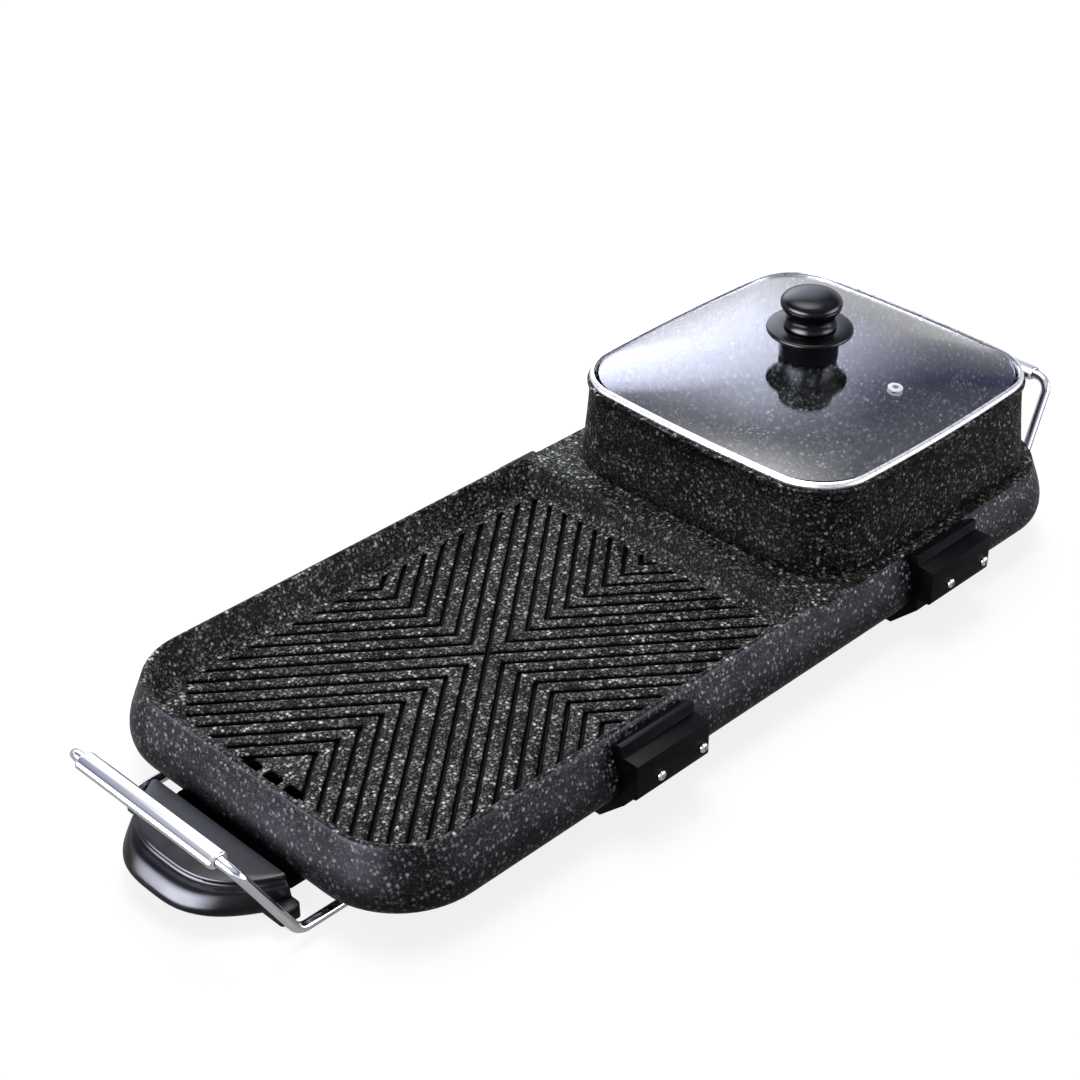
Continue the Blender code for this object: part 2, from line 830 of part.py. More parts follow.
def make_hot_pot(axis):
    """One cast shell: a plug for the well, a skirt on the land, and a wall that draws in to the rim."""
    skirt_x, skirt_y = pot_half_x(), pot_half_y()
    lip = POT_WALL / 2
    top_x = lid_half_x() - LID_OVERHANG - lip
    top_y = lid_half_y() - LID_OVERHANG - lip
    plug_x, plug_y = plug_half_x(), plug_half_y()
    low = WELL_FLOOR + GAP - LAND_HEIGHT
    stand = GAP
    top = POT_TOP - LAND_HEIGHT
    rounding = POT_BOTTOM_ROUND
    wall = POT_WALL
    bow = LID_BOW
    top_corner = LID_CORNER - LID_OVERHANG - lip
    skirt_bow = bow / 4
    skirt_corner = POT_SKIRT_CORNER
    plug_corner = POT_PLUG_CORNER
    rings = (
        bowed_ring(plug_x - rounding, plug_y - rounding, plug_corner - rounding, low, 0),
        bowed_ring(plug_x, plug_y, plug_corner, low + rounding, 0),
        bowed_ring(plug_x, plug_y, plug_corner, stand, 0),
        bowed_ring(skirt_x - lip, skirt_y - lip, skirt_corner - lip, stand, skirt_bow),
        bowed_ring(skirt_x, skirt_y, skirt_corner, stand + lip, skirt_bow),
        bowed_ring(skirt_x, skirt_y, skirt_corner, stand + wall * 2, skirt_bow),
        bowed_ring(top_x, top_y, top_corner, top - wall, bow),
        bowed_ring(top_x + lip, top_y + lip, top_corner + lip, top - lip, bow),
        bowed_ring(top_x + lip, top_y + lip, top_corner + lip, top, bow),
        bowed_ring(top_x - wall, top_y - wall, top_corner - wall, top, bow),
        bowed_ring(skirt_x - wall, skirt_y - wall, skirt_corner - wall, stand + wall * 2, skirt_bow),
        bowed_ring(plug_x - wall, plug_y - wall, plug_corner - wall, stand - lip, 0),
        bowed_ring(plug_x - wall, plug_y - wall, plug_corner - wall, low + rounding + lip, 0),
        bowed_ring(
            plug_x - rounding - wall, plug_y - rounding - wall, plug_corner - rounding - wall, low + wall, 0
        ),
    )
    return finish(loft("hot_pot", rings, axis), COATING)


def lid_ring(inset, height):
    return bowed_ring(lid_half_x() - inset, lid_half_y() - inset, LID_CORNER - inset, height, LID_BOW)


def make_lid_rim(axis):
    """A steel band folded into a channel round the glass."""
    fold = LID_SHEET / 2
    section = (
        (fold, 0),
        (0, fold),
        (0, LID_BAND - fold),
        (fold, LID_BAND),
        (LID_LIP, LID_BAND),
        (LID_LIP, LID_BAND - LID_SHEET),
        (LID_SHEET, LID_BAND - LID_SHEET),
        (LID_SHEET, LID_SHEET),
        (LID_LIP, LID_SHEET),
        (LID_LIP, 0),
    )
    rings = [lid_ring(inset, height) for inset, height in section]
    return finish(loft("lid_rim", rings, axis, tube=True), STEEL)


def glass_base():
    return LID_BAND - LID_SHEET - GAP - GLASS_THICK


def edge_share():
    """The share of the glass that lies flat inside the rim's channel."""
    return (LID_LIP + GAP) / lid_half_y()


def dome_rise(share):
    inside = max(share - edge_share(), 0) / (1 - edge_share())
    return GLASS_DOME * (1 - (1 - inside) ** DOME_POWER)


def dome_ring(share, base):
    """A ring of the glass: the share runs from 0 at the edge to 1 at the middle."""
    inset = LID_SHEET + GAP
    half_x = (lid_half_x() - inset) * (1 - share)
    half_y = (lid_half_y() - inset) * (1 - share)
    bow = LID_BOW * (1 - share)
    edge_corner = LID_CORNER - inset
    limit = ROUND_LIMIT_SHARE * (min(half_x, half_y) - bow)
    corner = min(edge_corner + (half_y - edge_corner) * share, limit)
    return bowed_ring(half_x, half_y, corner, base + dome_rise(share), bow)


def dome_shares():
    return (0, edge_share(), *DOME_SHARES)


def glass_apex():
    """Height of the glass's top surface at the knob, above the lid's base."""
    return glass_base() + GLASS_THICK + GLASS_DOME


def vent_place():
    """The middle of the vent on the glass's middle surface, and the surface's normal there."""
    low_share, high_share = dome_shares()[3], dome_shares()[4]
    full = lid_half_y() - LID_SHEET - GAP
    low_y, high_y = full * (1 - low_share), full * (1 - high_share)
    low_z, high_z = dome_rise(low_share), dome_rise(high_share)
    share = (low_y - VENT_REACH) / (low_y - high_y)
    height = glass_base() + GLASS_THICK / 2 + low_z + (high_z - low_z) * share
    normal = Vector((0, -(high_z - low_z), low_y - high_y)).normalized()
    return Vector((VENT_SIDE, -VENT_REACH, height)), normal


def make_lid_glass(axis):
    shares = dome_shares()
    lower = [dome_ring(share, glass_base()) for share in reversed(shares)]
    upper = [dome_ring(share, glass_base() + GLASS_THICK) for share in shares]
    flat_radius = KNOB_DRUM_RADIUS * 2 / 3
    flat = [
        circle_ring(flat_radius, height, (0, 0), len(lower[0]))
        for height in (glass_apex() - GLASS_THICK, glass_apex())
    ]
    glass = loft("lid_glass", [flat[0], *lower, *upper, flat[1]], axis)
    over = glass_apex() + OVERRUN
    bore = KNOB_SCREW_RADIUS + GAP
    cut(glass, turned("knob_hole_cutter", ((bore, -over), (bore, over)), axis))
    place, normal = vent_place()
    vent_bore = VENT_NECK + GAP
    profile = ((vent_bore, -OVERRUN), (vent_bore, OVERRUN))
    cut(glass, turned_along("vent_hole_cutter", profile, place, normal, axis))
    return finish(glass, GLASS)


def make_vent_grommet(axis):
    """A silicone eyelet that grips both faces of the glass."""
    place, normal = vent_place()
    face = GLASS_THICK / 2 + GAP * 2
    soft = VENT_FLANGE / 4
    profile = (
        (VENT_HOLE, -face - VENT_FLANGE),
        (VENT_OUTER - soft, -face - VENT_FLANGE),
        (VENT_OUTER, -face - VENT_FLANGE + soft),
        (VENT_OUTER, -face),
        (VENT_NECK, -face),
        (VENT_NECK, face),
        (VENT_OUTER, face),
        (VENT_OUTER, face + VENT_FLANGE - soft),
        (VENT_OUTER - soft, face + VENT_FLANGE),
        (VENT_HOLE, face + VENT_FLANGE),
    )
    grommet = turned_along("vent_grommet", profile, place, normal, axis, bored=True, steps=SMALL_ROUND_STEPS)
    return finish(grommet, SILICONE)


def make_knob_base(axis):
    """A drum with a wide disc on top, which keeps the fingers off the glass."""
    bore = KNOB_SCREW_RADIUS + GAP
    low = glass_apex() + GAP
    top = low + KNOB_DRUM_HEIGHT
    edge = KNOB_GUARD_THICK / 3
    profile = (
        (bore, low),
        (KNOB_DRUM_RADIUS - edge, low),
        (KNOB_DRUM_RADIUS, low + edge),
        (KNOB_DRUM_RADIUS, top - edge),
        (KNOB_GUARD_RADIUS - edge, top),
        (KNOB_GUARD_RADIUS, top + edge),
        (KNOB_GUARD_RADIUS, top + edge * 2),
        (KNOB_GUARD_RADIUS - edge, top + KNOB_GUARD_THICK),
        (bore, top + KNOB_GUARD_THICK),
    )
    return finish(turned("knob_base", profile, axis, bored=True), BAKELITE)


def make_knob_grip(axis):
    """The upper grip, with a blind hole for the screw."""
    bore = KNOB_SCREW_RADIUS + GAP
    low = glass_apex() + GAP * 2 + KNOB_DRUM_HEIGHT + KNOB_GUARD_THICK
    shape_shares = (
        (0.00, 0.00),
        (0.10, 0.30),
        (0.65, 0.42),
        (0.96, 0.52),
        (1.00, 0.62),
        (0.98, 0.80),
        (0.86, 0.92),
        (0.50, 0.98),
    )
    profile = [(bore, glass_apex() + KNOB_SCREW_REACH + GAP), (bore, low)]
    for out_share, up_share in shape_shares:
        radius = KNOB_NECK_RADIUS + (KNOB_CAP_RADIUS - KNOB_NECK_RADIUS) * out_share
        if up_share > 0.9:
            radius = KNOB_CAP_RADIUS * out_share
        profile.append((radius, low + KNOB_GRIP_HEIGHT * up_share))
    profile.append((KNOB_NECK_RADIUS / 3, low + KNOB_GRIP_HEIGHT))
    return finish(turned("knob_grip", profile, axis), BAKELITE)


def make_knob_washer(axis):
    bore = KNOB_SCREW_RADIUS + GAP
    top = glass_apex() - GLASS_THICK - GAP
    low = top - KNOB_WASHER_THICK
    profile = ((bore, low), (KNOB_WASHER_RADIUS, low), (KNOB_WASHER_RADIUS, top), (bore, top))
    washer = turned("knob_washer", profile, axis, bored=True, steps=SMALL_ROUND_STEPS)
    return finish(washer, STEEL)


def make_knob_screw(axis):
    top = glass_apex() - GLASS_THICK - GAP * 2 - KNOB_WASHER_THICK
    length = glass_apex() + KNOB_SCREW_REACH - top
    profile = screw_profile(KNOB_SCREW_RADIUS, length, KNOB_SCREW_HEAD, KNOB_SCREW_HEAD_THICK)
    place = Vector((0, 0, top))
    screw = turned_along("knob_screw", profile, place, (0, 0, 1), axis, steps=SMALL_ROUND_STEPS)
    return finish(screw, STEEL)


def foot_outline(side):
    """Section of a foot as (y, z): block and shelf outside, arm and sole under the pan's edge."""
    shelf_height = FOOT_SHELF_HEIGHT if side < 0 else FOOT_FAR_SHELF_HEIGHT
    top_height = FOOT_TOP_HEIGHT if side < 0 else FOOT_FAR_TOP_HEIGHT
    wall = [
        (out_share * WALL_BULGE + GAP, SKIRT_BOTTOM + up_share * wall_height())
        for out_share, up_share in WALL_SHARES
        if SKIRT_BOTTOM + up_share * wall_height() < top_height
    ]
    under = SKIRT_BOTTOM - GAP
    shelf_back = FOOT_PROUD - FOOT_SHELF_DEPTH
    outline = [
        (-FOOT_SOLE_IN, under),
        (-FOOT_SOLE_IN, 0),
        (-FOOT_SOLE_OUT, 0),
        (FOOT_ARM_OUT, FOOT_ARM_KNEE),
        (FOOT_ARM_OUT, FOOT_BLOCK_BOTTOM),
        (FOOT_PROUD - FOOT_CHAMFER, FOOT_BLOCK_BOTTOM),
        (FOOT_PROUD, FOOT_BLOCK_BOTTOM + FOOT_CHAMFER),
        (FOOT_PROUD, shelf_height),
        (shelf_back, shelf_height),
        (shelf_back - FOOT_CHAMFER / 2, top_height),
        (shelf_back - FOOT_TOP_DEPTH, top_height),
        (wall[0][0], wall[0][1]),
        *wall[1:-1],
        (wall[-1][0], under),
    ]
    return [(side * (PAN_WIDTH / 2 + out), height) for out, height in outline]


def make_foot(name, x, side, holes):
    half = FOOT_LENGTH / 2
    foot = prism(name, foot_outline(side), x - half, x + half, "x")
    cut(foot, holes)
    return finish(foot, BAKELITE)


def screw_profile(radius, length, head_radius, head_thick):
    """A screw that points along its axis from the origin, its head behind the origin."""
    return (
        (head_radius * 2 / 3, -head_thick),
        (head_radius, -head_thick * 2 / 3),
        (head_radius, 0),
        (radius, 0),
        (radius, length),
    )


def make_foot_screw(name, x, side):
    length = foot_face() - PAN_WIDTH / 2 - SKIRT_WALL
    place = (x, side * (foot_face() + GAP), foot_screw_height(side))
    profile = screw_profile(FOOT_SCREW_RADIUS, length, FOOT_SCREW_HEAD, FOOT_SCREW_HEAD_THICK)
    screw = turned_along(name, profile, place, (0, -side, 0), steps=TINY_ROUND_STEPS)
    return finish(screw, CHROME)


def skirt_foot_outset():
    return SKIRT_SHARES[0][0] * WALL_BULGE - SKIRT_WALL


def make_bottom_cover(screw_holes):
    """A black sheet that closes the pan's underside, with a window under the drain slots."""
    outset = skirt_foot_outset() - COVER_INSET
    low = SKIRT_BOTTOM + COVER_RISE
    rings = [pan_ring(outset, height) for height in (low, low + COVER_THICK)]
    cover = loft("bottom_cover", rings)
    cut(cover, screw_holes)
    half_x = DRAIN_WIDTH / 2 + DRAIN_WINDOW_EDGE
    half_y = DRAIN_PITCH * (DRAIN_COUNT - 1) / 2 + DRAIN_LENGTH / 2 + DRAIN_WINDOW_EDGE
    window = loft(
        "drain_window_cutter",
        [
            rounded_ring(half_x, half_y, DRAIN_WINDOW_EDGE / 2, height, (drain_x(), 0), SMALL_ARC_STEPS)
            for height in (low - OVERRUN, low + OVERRUN)
        ],
    )
    cut(cover, window)
    return finish(cover, TIN_BLACK)


def make_cover_screw(number, place):
    low = SKIRT_BOTTOM + COVER_RISE - GAP
    profile = screw_profile(SCREW_RADIUS, SCREW_DEPTH - GAP, SCREW_HEAD, SCREW_HEAD_THICK)
    screw = turned_along("cover_screw_%d" % number, profile, (*place, low), (0, 0, 1), steps=TINY_ROUND_STEPS)
    return finish(screw, STEEL)


def bar_x():
    return PAN_LENGTH / 2 + BAR_REACH - SLEEVE_WIDTH / 2


def make_handle(name, end):
    """One bent rod: two legs under the pan, two risers and the cross bar."""
    start = end * (PAN_LENGTH / 2 - ROD_UNDER_PAN)
    knee = end * (PAN_LENGTH / 2 + ROD_KNEE)
    bar = end * bar_x()
    corners = [
        (start, -ROD_SPREAD, ROD_HEIGHT),
        (knee, -ROD_SPREAD, ROD_HEIGHT),
        (bar, -BAR_SPREAD, BAR_HEIGHT),
        (bar, BAR_SPREAD, BAR_HEIGHT),
        (knee, ROD_SPREAD, ROD_HEIGHT),
        (start, ROD_SPREAD, ROD_HEIGHT),
    ]
    return finish(tube(name, rounded_path(corners, ROD_BEND), ROD_RADIUS, resolution=2), CHROME)


def make_sleeve(name, end):
    """The flat oval sleeve on the cross bar."""
    bar = end * bar_x()
    half = SLEEVE_LENGTH / 2
    bore = ROD_RADIUS + GAP

    def ring(radius_x, radius_z, along):
        return [
            Vector(
                (
                    bar + radius_x * math.cos(2 * math.pi * step / ROUND_STEPS),
                    along,
                    BAR_HEIGHT + radius_z * math.sin(2 * math.pi * step / ROUND_STEPS),
                )
            )
            for step in range(ROUND_STEPS)
        ]

    rings = [
        ring(SLEEVE_WIDTH / 2, SLEEVE_HEIGHT / 2, -half),
        ring(SLEEVE_WIDTH / 2, SLEEVE_HEIGHT / 2, half),
        ring(bore, bore, half),
        ring(bore, bore, -half),
    ]
    return finish(loft(name, rings, tube=True), CHROME)


def strap_outline(centre, top, drop, half_inside, sheet, flange):
    """Section of a strap that hangs from a face and wraps a rod: (across, z) pairs."""
    outer = half_inside + sheet
    pairs = (
        (-outer - flange, top),
        (-outer - flange, top - sheet),
        (-outer, top - sheet),
        (-outer, top - drop - sheet),
        (outer, top - drop - sheet),
        (outer, top - sheet),
        (outer + flange, top - sheet),
        (outer + flange, top),
        (half_inside, top),
        (half_inside, top - drop),
        (-half_inside, top - drop),
        (-half_inside, top),
    )
    return [(centre + across, height) for across, height in pairs]


def make_clamp(name, end, side):
    """A strap under the cover that holds one leg of a handle."""
    top = SKIRT_BOTTOM + COVER_RISE - GAP
    drop = top - (ROD_HEIGHT - ROD_RADIUS - GAP)
    outline = strap_outline(side * ROD_SPREAD, top, drop, ROD_RADIUS + GAP, CLAMP_SHEET, CLAMP_FLANGE)
    middle = end * (PAN_LENGTH / 2 - CLAMP_INSET)
    half = CLAMP_LENGTH / 2
    return finish(prism(name, outline, middle - half, middle + half, "x"), STEEL)


def tray_front():
    return -PAN_LENGTH / 2 - WALL_BULGE - TRAY_FRONT_GAP


def tray_top():
    return SKIRT_BOTTOM - TRAY_DROP


def make_drip_tray(axis):
    """A thin tray with a flange all round that hangs in the runners."""
    centre = (TRAY_LENGTH / 2, 0)
    body_x = TRAY_LENGTH / 2
    body_y = TRAY_WIDTH / 2 - TRAY_FLANGE
    top = 0
    flange_low = top - TRAY_SHEET
    floor = top - TRAY_DEPTH
    rounding = TRAY_SHEET * 2
    inner = TRAY_SHEET

    def ring(inset, height):
        corner = TRAY_CORNER - inset
        return rounded_ring(body_x - inset, body_y - inset, corner, height, centre, SMALL_ARC_STEPS)

    rings = (
        ring(rounding, floor),
        ring(0, floor + rounding),
        ring(0, flange_low),
        ring(-TRAY_FLANGE, flange_low),
        ring(-TRAY_FLANGE, top),
        ring(inner, top),
        ring(inner, floor + rounding),
        ring(inner + rounding / 2, floor + inner),
    )
    tray = loft("drip_tray", rings, axis)
    cut(tray, make_grip_screw_holes(axis))
    return finish(tray, BAKELITE)


def grip_back():
    """Back plane of the grip in the tray's frame, whose x is zero at the tray's front wall."""
    return -(TRAY_FLANGE + GAP)


def grip_ring(reach, width, height):
    """A D-shaped outline: straight at the back, bowed at the nose."""
    half = width / 2
    steps = ROUND_STEPS
    points = []
    for step in range(steps + 1):
        angle = math.pi * step / steps
        y = half * math.cos(angle)
        bulge = 1 - abs(math.cos(angle)) ** GRIP_POWER
        points.append(Vector((grip_back() - GRIP_ROUND - (reach - GRIP_ROUND) * bulge, y, height)))
    points.append(Vector((grip_back(), -half, height)))
    points.append(Vector((grip_back(), half, height)))
    return points


def make_tray_grip(axis):
    """The rounded nose that pulls the tray, with a fascia as wide as the gap between the legs."""
    base = -tray_top()
    narrow = GRIP_WIDTH - GRIP_ROUND * 4
    rings = (
        grip_ring(GRIP_UNDER, narrow, base + GRIP_BOTTOM),
        grip_ring(GRIP_REACH - GRIP_ROUND, GRIP_WIDTH - GRIP_ROUND, base + GRIP_NOSE_HEIGHT - GRIP_ROUND),
        grip_ring(GRIP_REACH, GRIP_WIDTH, base + GRIP_NOSE_HEIGHT),
        grip_ring(GRIP_REACH, GRIP_WIDTH, base + GRIP_NOSE_HEIGHT + GRIP_ROUND),
        grip_ring(GRIP_BROW, narrow, base + GRIP_TOP - GRIP_ROUND),
        grip_ring(GRIP_BROW - GRIP_ROUND, narrow - GRIP_ROUND, base + GRIP_TOP),
    )
    grip = loft("tray_grip", rings, axis)
    half = FASCIA_WIDTH / 2
    depth = FASCIA_DEPTH / 2
    fascia = loft(
        "tray_fascia",
        [
            rounded_ring(depth, half, GRIP_ROUND, height, (grip_back() - depth, 0), SMALL_ARC_STEPS)
            for height in (base + GRIP_BOTTOM + GAP, base + FASCIA_TOP)
        ],
        axis,
    )
    join(grip, fascia)
    cut(grip, make_grip_screw_holes(axis))
    return finish(grip, BAKELITE)


def grip_screw_height():
    return GRIP_SCREW_HEIGHT - tray_top()


def make_grip_screw_holes(axis):
    """Holes through the tray's front wall into the grip."""
    made = bpy.data.objects.get("grip_screw_holes")
    if made:
        return made
    maker = bmesh.new()
    for side in (-1, 1):
        centre = (side * GRIP_SCREW_SPREAD, grip_screw_height())
        ring = circle_ring(SCREW_RADIUS + GAP, 0, centre, TINY_ROUND_STEPS)
        ends = (TRAY_SHEET * 2, -GRIP_SCREW_REACH)
        rings = [[Vector((x, point.x, point.y)) for point in ring] for x in ends]
        add_loft(maker, rings)
    return object_from("grip_screw_holes", maker, axis)


def make_grip_screw(name, side, axis):
    place = (TRAY_SHEET + GAP, side * GRIP_SCREW_SPREAD, grip_screw_height())
    length = GRIP_SCREW_REACH - TRAY_SHEET * 2
    profile = screw_profile(SCREW_RADIUS, length, SCREW_RADIUS * 2, SCREW_HEAD_THICK / 2)
    screw = turned_along(name, profile, place, (-1, 0, 0), axis, steps=TINY_ROUND_STEPS)
    return finish(screw, STEEL)


def make_tray_runner(name, side):
    """A folded strip under the cover with a ledge for the tray's flange."""
    sheet = CLAMP_SHEET
    top = SKIRT_BOTTOM + COVER_RISE - GAP
    ledge = tray_top() - TRAY_SHEET - GAP
    inner = TRAY_WIDTH / 2 - TRAY_FLANGE + GAP * 2
    wall = TRAY_WIDTH / 2 + GAP
    pairs = (
        (inner, ledge - sheet),
        (wall + sheet, ledge - sheet),
        (wall + sheet, top - sheet),
        (wall + CLAMP_FLANGE, top - sheet),
        (wall + CLAMP_FLANGE, top),
        (wall, top),
        (wall, ledge),
        (inner, ledge),
    )
    outline = [(side * across, height) for across, height in pairs]
    start = -PAN_LENGTH / 2 + WALL_BULGE
    return finish(prism(name, outline, start, start + TRAY_LENGTH, "x"), STEEL)


def heater_tail_y():
    return PAN_WIDTH / 2 - HEATER_TAIL_INSET


def grill_heater_x():
    """Where the grill heater's first tail leaves; the second is a pitch further from the inlet."""
    return inlet_x() - GRILL_HEATER_OFFSET


def pot_heater_x():
    return inlet_x() + POT_HEATER_OFFSET


def heater_height():
    return floor_underside() - GAP - HEATER_RADIUS


def make_heater(name, first_x, last_x, end_x, half):
    """A tubular heater: one loop whose two ends come back to the inlet side."""
    height = heater_height()
    corners = [
        (first_x, heater_tail_y(), height),
        (first_x, -half, height),
        (end_x, -half, height),
        (end_x, half, height),
        (last_x, half, height),
        (last_x, heater_tail_y(), height),
    ]
    return finish(tube(name, rounded_path(corners, HEATER_BEND), HEATER_RADIUS, resolution=2), HEATER_SKIN)


def make_heater_clip(name, x, y):
    top = floor_underside() - GAP
    drop = HEATER_RADIUS * 2 + GAP * 2
    outline = strap_outline(y, top, drop, HEATER_RADIUS + GAP, CLIP_SHEET, CLIP_FLANGE)
    half = CLIP_LENGTH / 2
    return finish(prism(name, outline, x - half, x + half, "x"), STEEL)


def inlet_back():
    return PAN_WIDTH / 2 + WALL_BULGE + INLET_PROUD - INLET_DEPTH


def make_inlet_holes():
    """Holes for the two pins and the probe's sleeve in the inlet's back wall."""
    maker = bmesh.new()
    back = inlet_back() - OVERRUN
    front = inlet_back() + INLET_DEPTH - INLET_CAVITY + GAP
    for offset, radius in ((-PIN_SPREAD, PIN_RADIUS), (0, PROBE_RADIUS), (PIN_SPREAD, PIN_RADIUS)):
        rings = []
        for y in (back, front):
            ring = circle_ring(radius + GAP, 0, (inlet_x() + offset, INLET_HEIGHT), SMALL_ROUND_STEPS)
            rings.append([Vector((point.x, y, point.y)) for point in ring])
        add_loft(maker, rings)
    return object_from("inlet_hole_cutter", maker)


def make_inlet_shroud():
    """A rounded socket in the far wall, with a flange outside."""
    half_x, half_z = INLET_LENGTH / 2, INLET_TALL / 2
    back = inlet_back()
    mouth = back + INLET_DEPTH
    flange_back = PAN_WIDTH / 2 + WALL_BULGE + GAP
    flange_front = flange_back + INLET_FLANGE_THICK

    def ring(inset, along):
        corner = max(INLET_CORNER - inset, INLET_CORNER / 3)
        flat = rounded_ring(half_x - inset, half_z - inset, corner, 0, steps=SMALL_ARC_STEPS)
        return [Vector((inlet_x() + point.x, along, INLET_HEIGHT + point.y)) for point in flat]

    rings = (
        ring(0, back),
        ring(0, flange_back),
        ring(-INLET_FLANGE, flange_back),
        ring(-INLET_FLANGE, flange_front),
        ring(0, flange_front),
        ring(0, mouth),
        ring(INLET_WALL, mouth),
        ring(INLET_WALL, mouth - INLET_CAVITY),
    )
    shroud = loft("inlet_shroud", rings)
    cut(shroud, make_inlet_holes())
    return finish(shroud, BAKELITE)


def make_inlet_pin(name, side):
    start = inlet_back() - PIN_TAIL
    length = PIN_TAIL + INLET_DEPTH - INLET_WALL * 2
    tip = PIN_RADIUS / 2
    profile = ((PIN_RADIUS, 0), (PIN_RADIUS, length - tip), (PIN_RADIUS - tip, length))
    place = (inlet_x() + side * PIN_SPREAD, start, INLET_HEIGHT)
    return finish(turned_along(name, profile, place, (0, 1, 0), steps=SMALL_ROUND_STEPS), BRASS)


def make_probe_sleeve():
    """The open tube between the pins that takes a thermostat's probe."""
    length = PIN_TAIL + INLET_DEPTH - INLET_CAVITY + INLET_WALL
    profile = ((PROBE_BORE, 0), (PROBE_RADIUS, 0), (PROBE_RADIUS, length), (PROBE_BORE, length))
    place = (inlet_x(), inlet_back() - PIN_TAIL, INLET_HEIGHT)
    sleeve = turned_along("probe_sleeve", profile, place, (0, 1, 0), bored=True, steps=SMALL_ROUND_STEPS)
    return finish(sleeve, STEEL)


def make_pin_lead(name, side, heater_x):
    """A wire from under a pin's tail to one heater's end."""
    pin_x = inlet_x() + side * PIN_SPREAD
    pin_y = inlet_back() - PIN_TAIL / 2
    corners = [
        (pin_x, pin_y, INLET_HEIGHT - PIN_RADIUS - GAP),
        (pin_x, pin_y, heater_height()),
        (heater_x, heater_tail_y() + GAP, heater_height()),
    ]
    return finish(tube(name, rounded_path(corners, WIRE_RADIUS * 2), WIRE_RADIUS), TIN_BLACK)


def make_link_lead():
    """The wire that joins the other ends of the two heaters, below the pin leads."""
    first = grill_heater_x() - HEATER_TAIL_PITCH
    last = pot_heater_x() + HEATER_TAIL_PITCH
    start = heater_tail_y() + GAP
    bend = WIRE_RADIUS * 1.4
    out = start + bend * 3
    high = heater_height()
    low = high - WIRE_RADIUS * 3
    corners = [
        (first, start, high),
        (first, out, high),
        (first, out, low),
        (last, out, low),
        (last, out, high),
        (last, start, high),
    ]
    return finish(tube("lead_link", rounded_path(corners, bend), WIRE_RADIUS), TIN_BLACK)


def build_underside(screw_holes):
    make_bottom_cover(screw_holes)
    for number, place in enumerate(post_places(), 1):
        make_cover_screw(number, place)
    for end_name, end in (("grill", -1), ("pot", 1)):
        make_handle("handle_%s_end" % end_name, end)
        make_sleeve("handle_sleeve_%s_end" % end_name, end)
        for side_name, side in (("near", -1), ("far", 1)):
            make_clamp("handle_clamp_%s_%s" % (end_name, side_name), end, side)
    for side_name, side in (("near", -1), ("far", 1)):
        make_tray_runner("tray_runner_" + side_name, side)


def build_heating():
    grill_last = grill_heater_x() - HEATER_TAIL_PITCH
    pot_last = pot_heater_x() + HEATER_TAIL_PITCH
    grill_end = -PAN_LENGTH / 2 + GRILL_HEATER_END_INSET
    pot_end = PAN_LENGTH / 2 - POT_HEATER_END_INSET
    grill_half = PAN_WIDTH / 2 - GRILL_HEATER_SIDE_INSET
    pot_half = PAN_WIDTH / 2 - POT_HEATER_SIDE_INSET
    make_heater("grill_heater", grill_heater_x(), grill_last, grill_end, grill_half)
    make_heater("pot_heater", pot_heater_x(), pot_last, pot_end, pot_half)
    for side_name, side in (("near", -1), ("far", 1)):
        make_heater_clip("grill_heater_clip_" + side_name, (grill_end + grill_last) / 2, side * grill_half)
        make_heater_clip("pot_heater_clip_" + side_name, (pot_end + pot_last) / 2, side * pot_half)
    make_inlet_shroud()
    make_inlet_pin("inlet_pin_a", -1)
    make_inlet_pin("inlet_pin_b", 1)
    make_probe_sleeve()
    make_pin_lead("lead_grill", -1, grill_heater_x())
    make_pin_lead("lead_pot", 1, pot_heater_x())
    make_link_lead()


def build_lid(axis):
    make_lid_rim(axis)
    make_lid_glass(axis)
    make_vent_grommet(axis)
    make_knob_base(axis)
    make_knob_grip(axis)
    make_knob_washer(axis)
    make_knob_screw(axis)


def build_tray(axis):
    make_drip_tray(axis)
    make_tray_grip(axis)
    make_grip_screw("tray_grip_screw_near", -1, axis)
    make_grip_screw("tray_grip_screw_far", 1, axis)


def build():
    clear_scene()
    screw_holes = make_screw_holes()
    foot_holes = make_foot_screw_holes()
    make_base_pan(screw_holes, foot_holes)
    for name, x, side in foot_places():
        make_foot(name, x, side, foot_holes)
    for name, x, side in foot_screw_places():
        make_foot_screw(name, x, side)
    build_underside(screw_holes)
    build_heating()
    make_hot_pot(empty_at("pot_axis", (pot_x(), 0, LAND_HEIGHT)))
    build_lid(empty_at("lid_axis", (pot_x(), 0, POT_TOP + GAP)))
    build_tray(empty_at("tray_axis", (tray_front(), 0, tray_top())))


build()
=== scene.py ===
"""Electric grill pan with a hot pot: a cast pan with a ribbed basin, a lift-off pot with a glass lid,
two chrome handles and a drip tray. The sections follow the order in which the real one is put
together. Metres, +Z up."""

import math

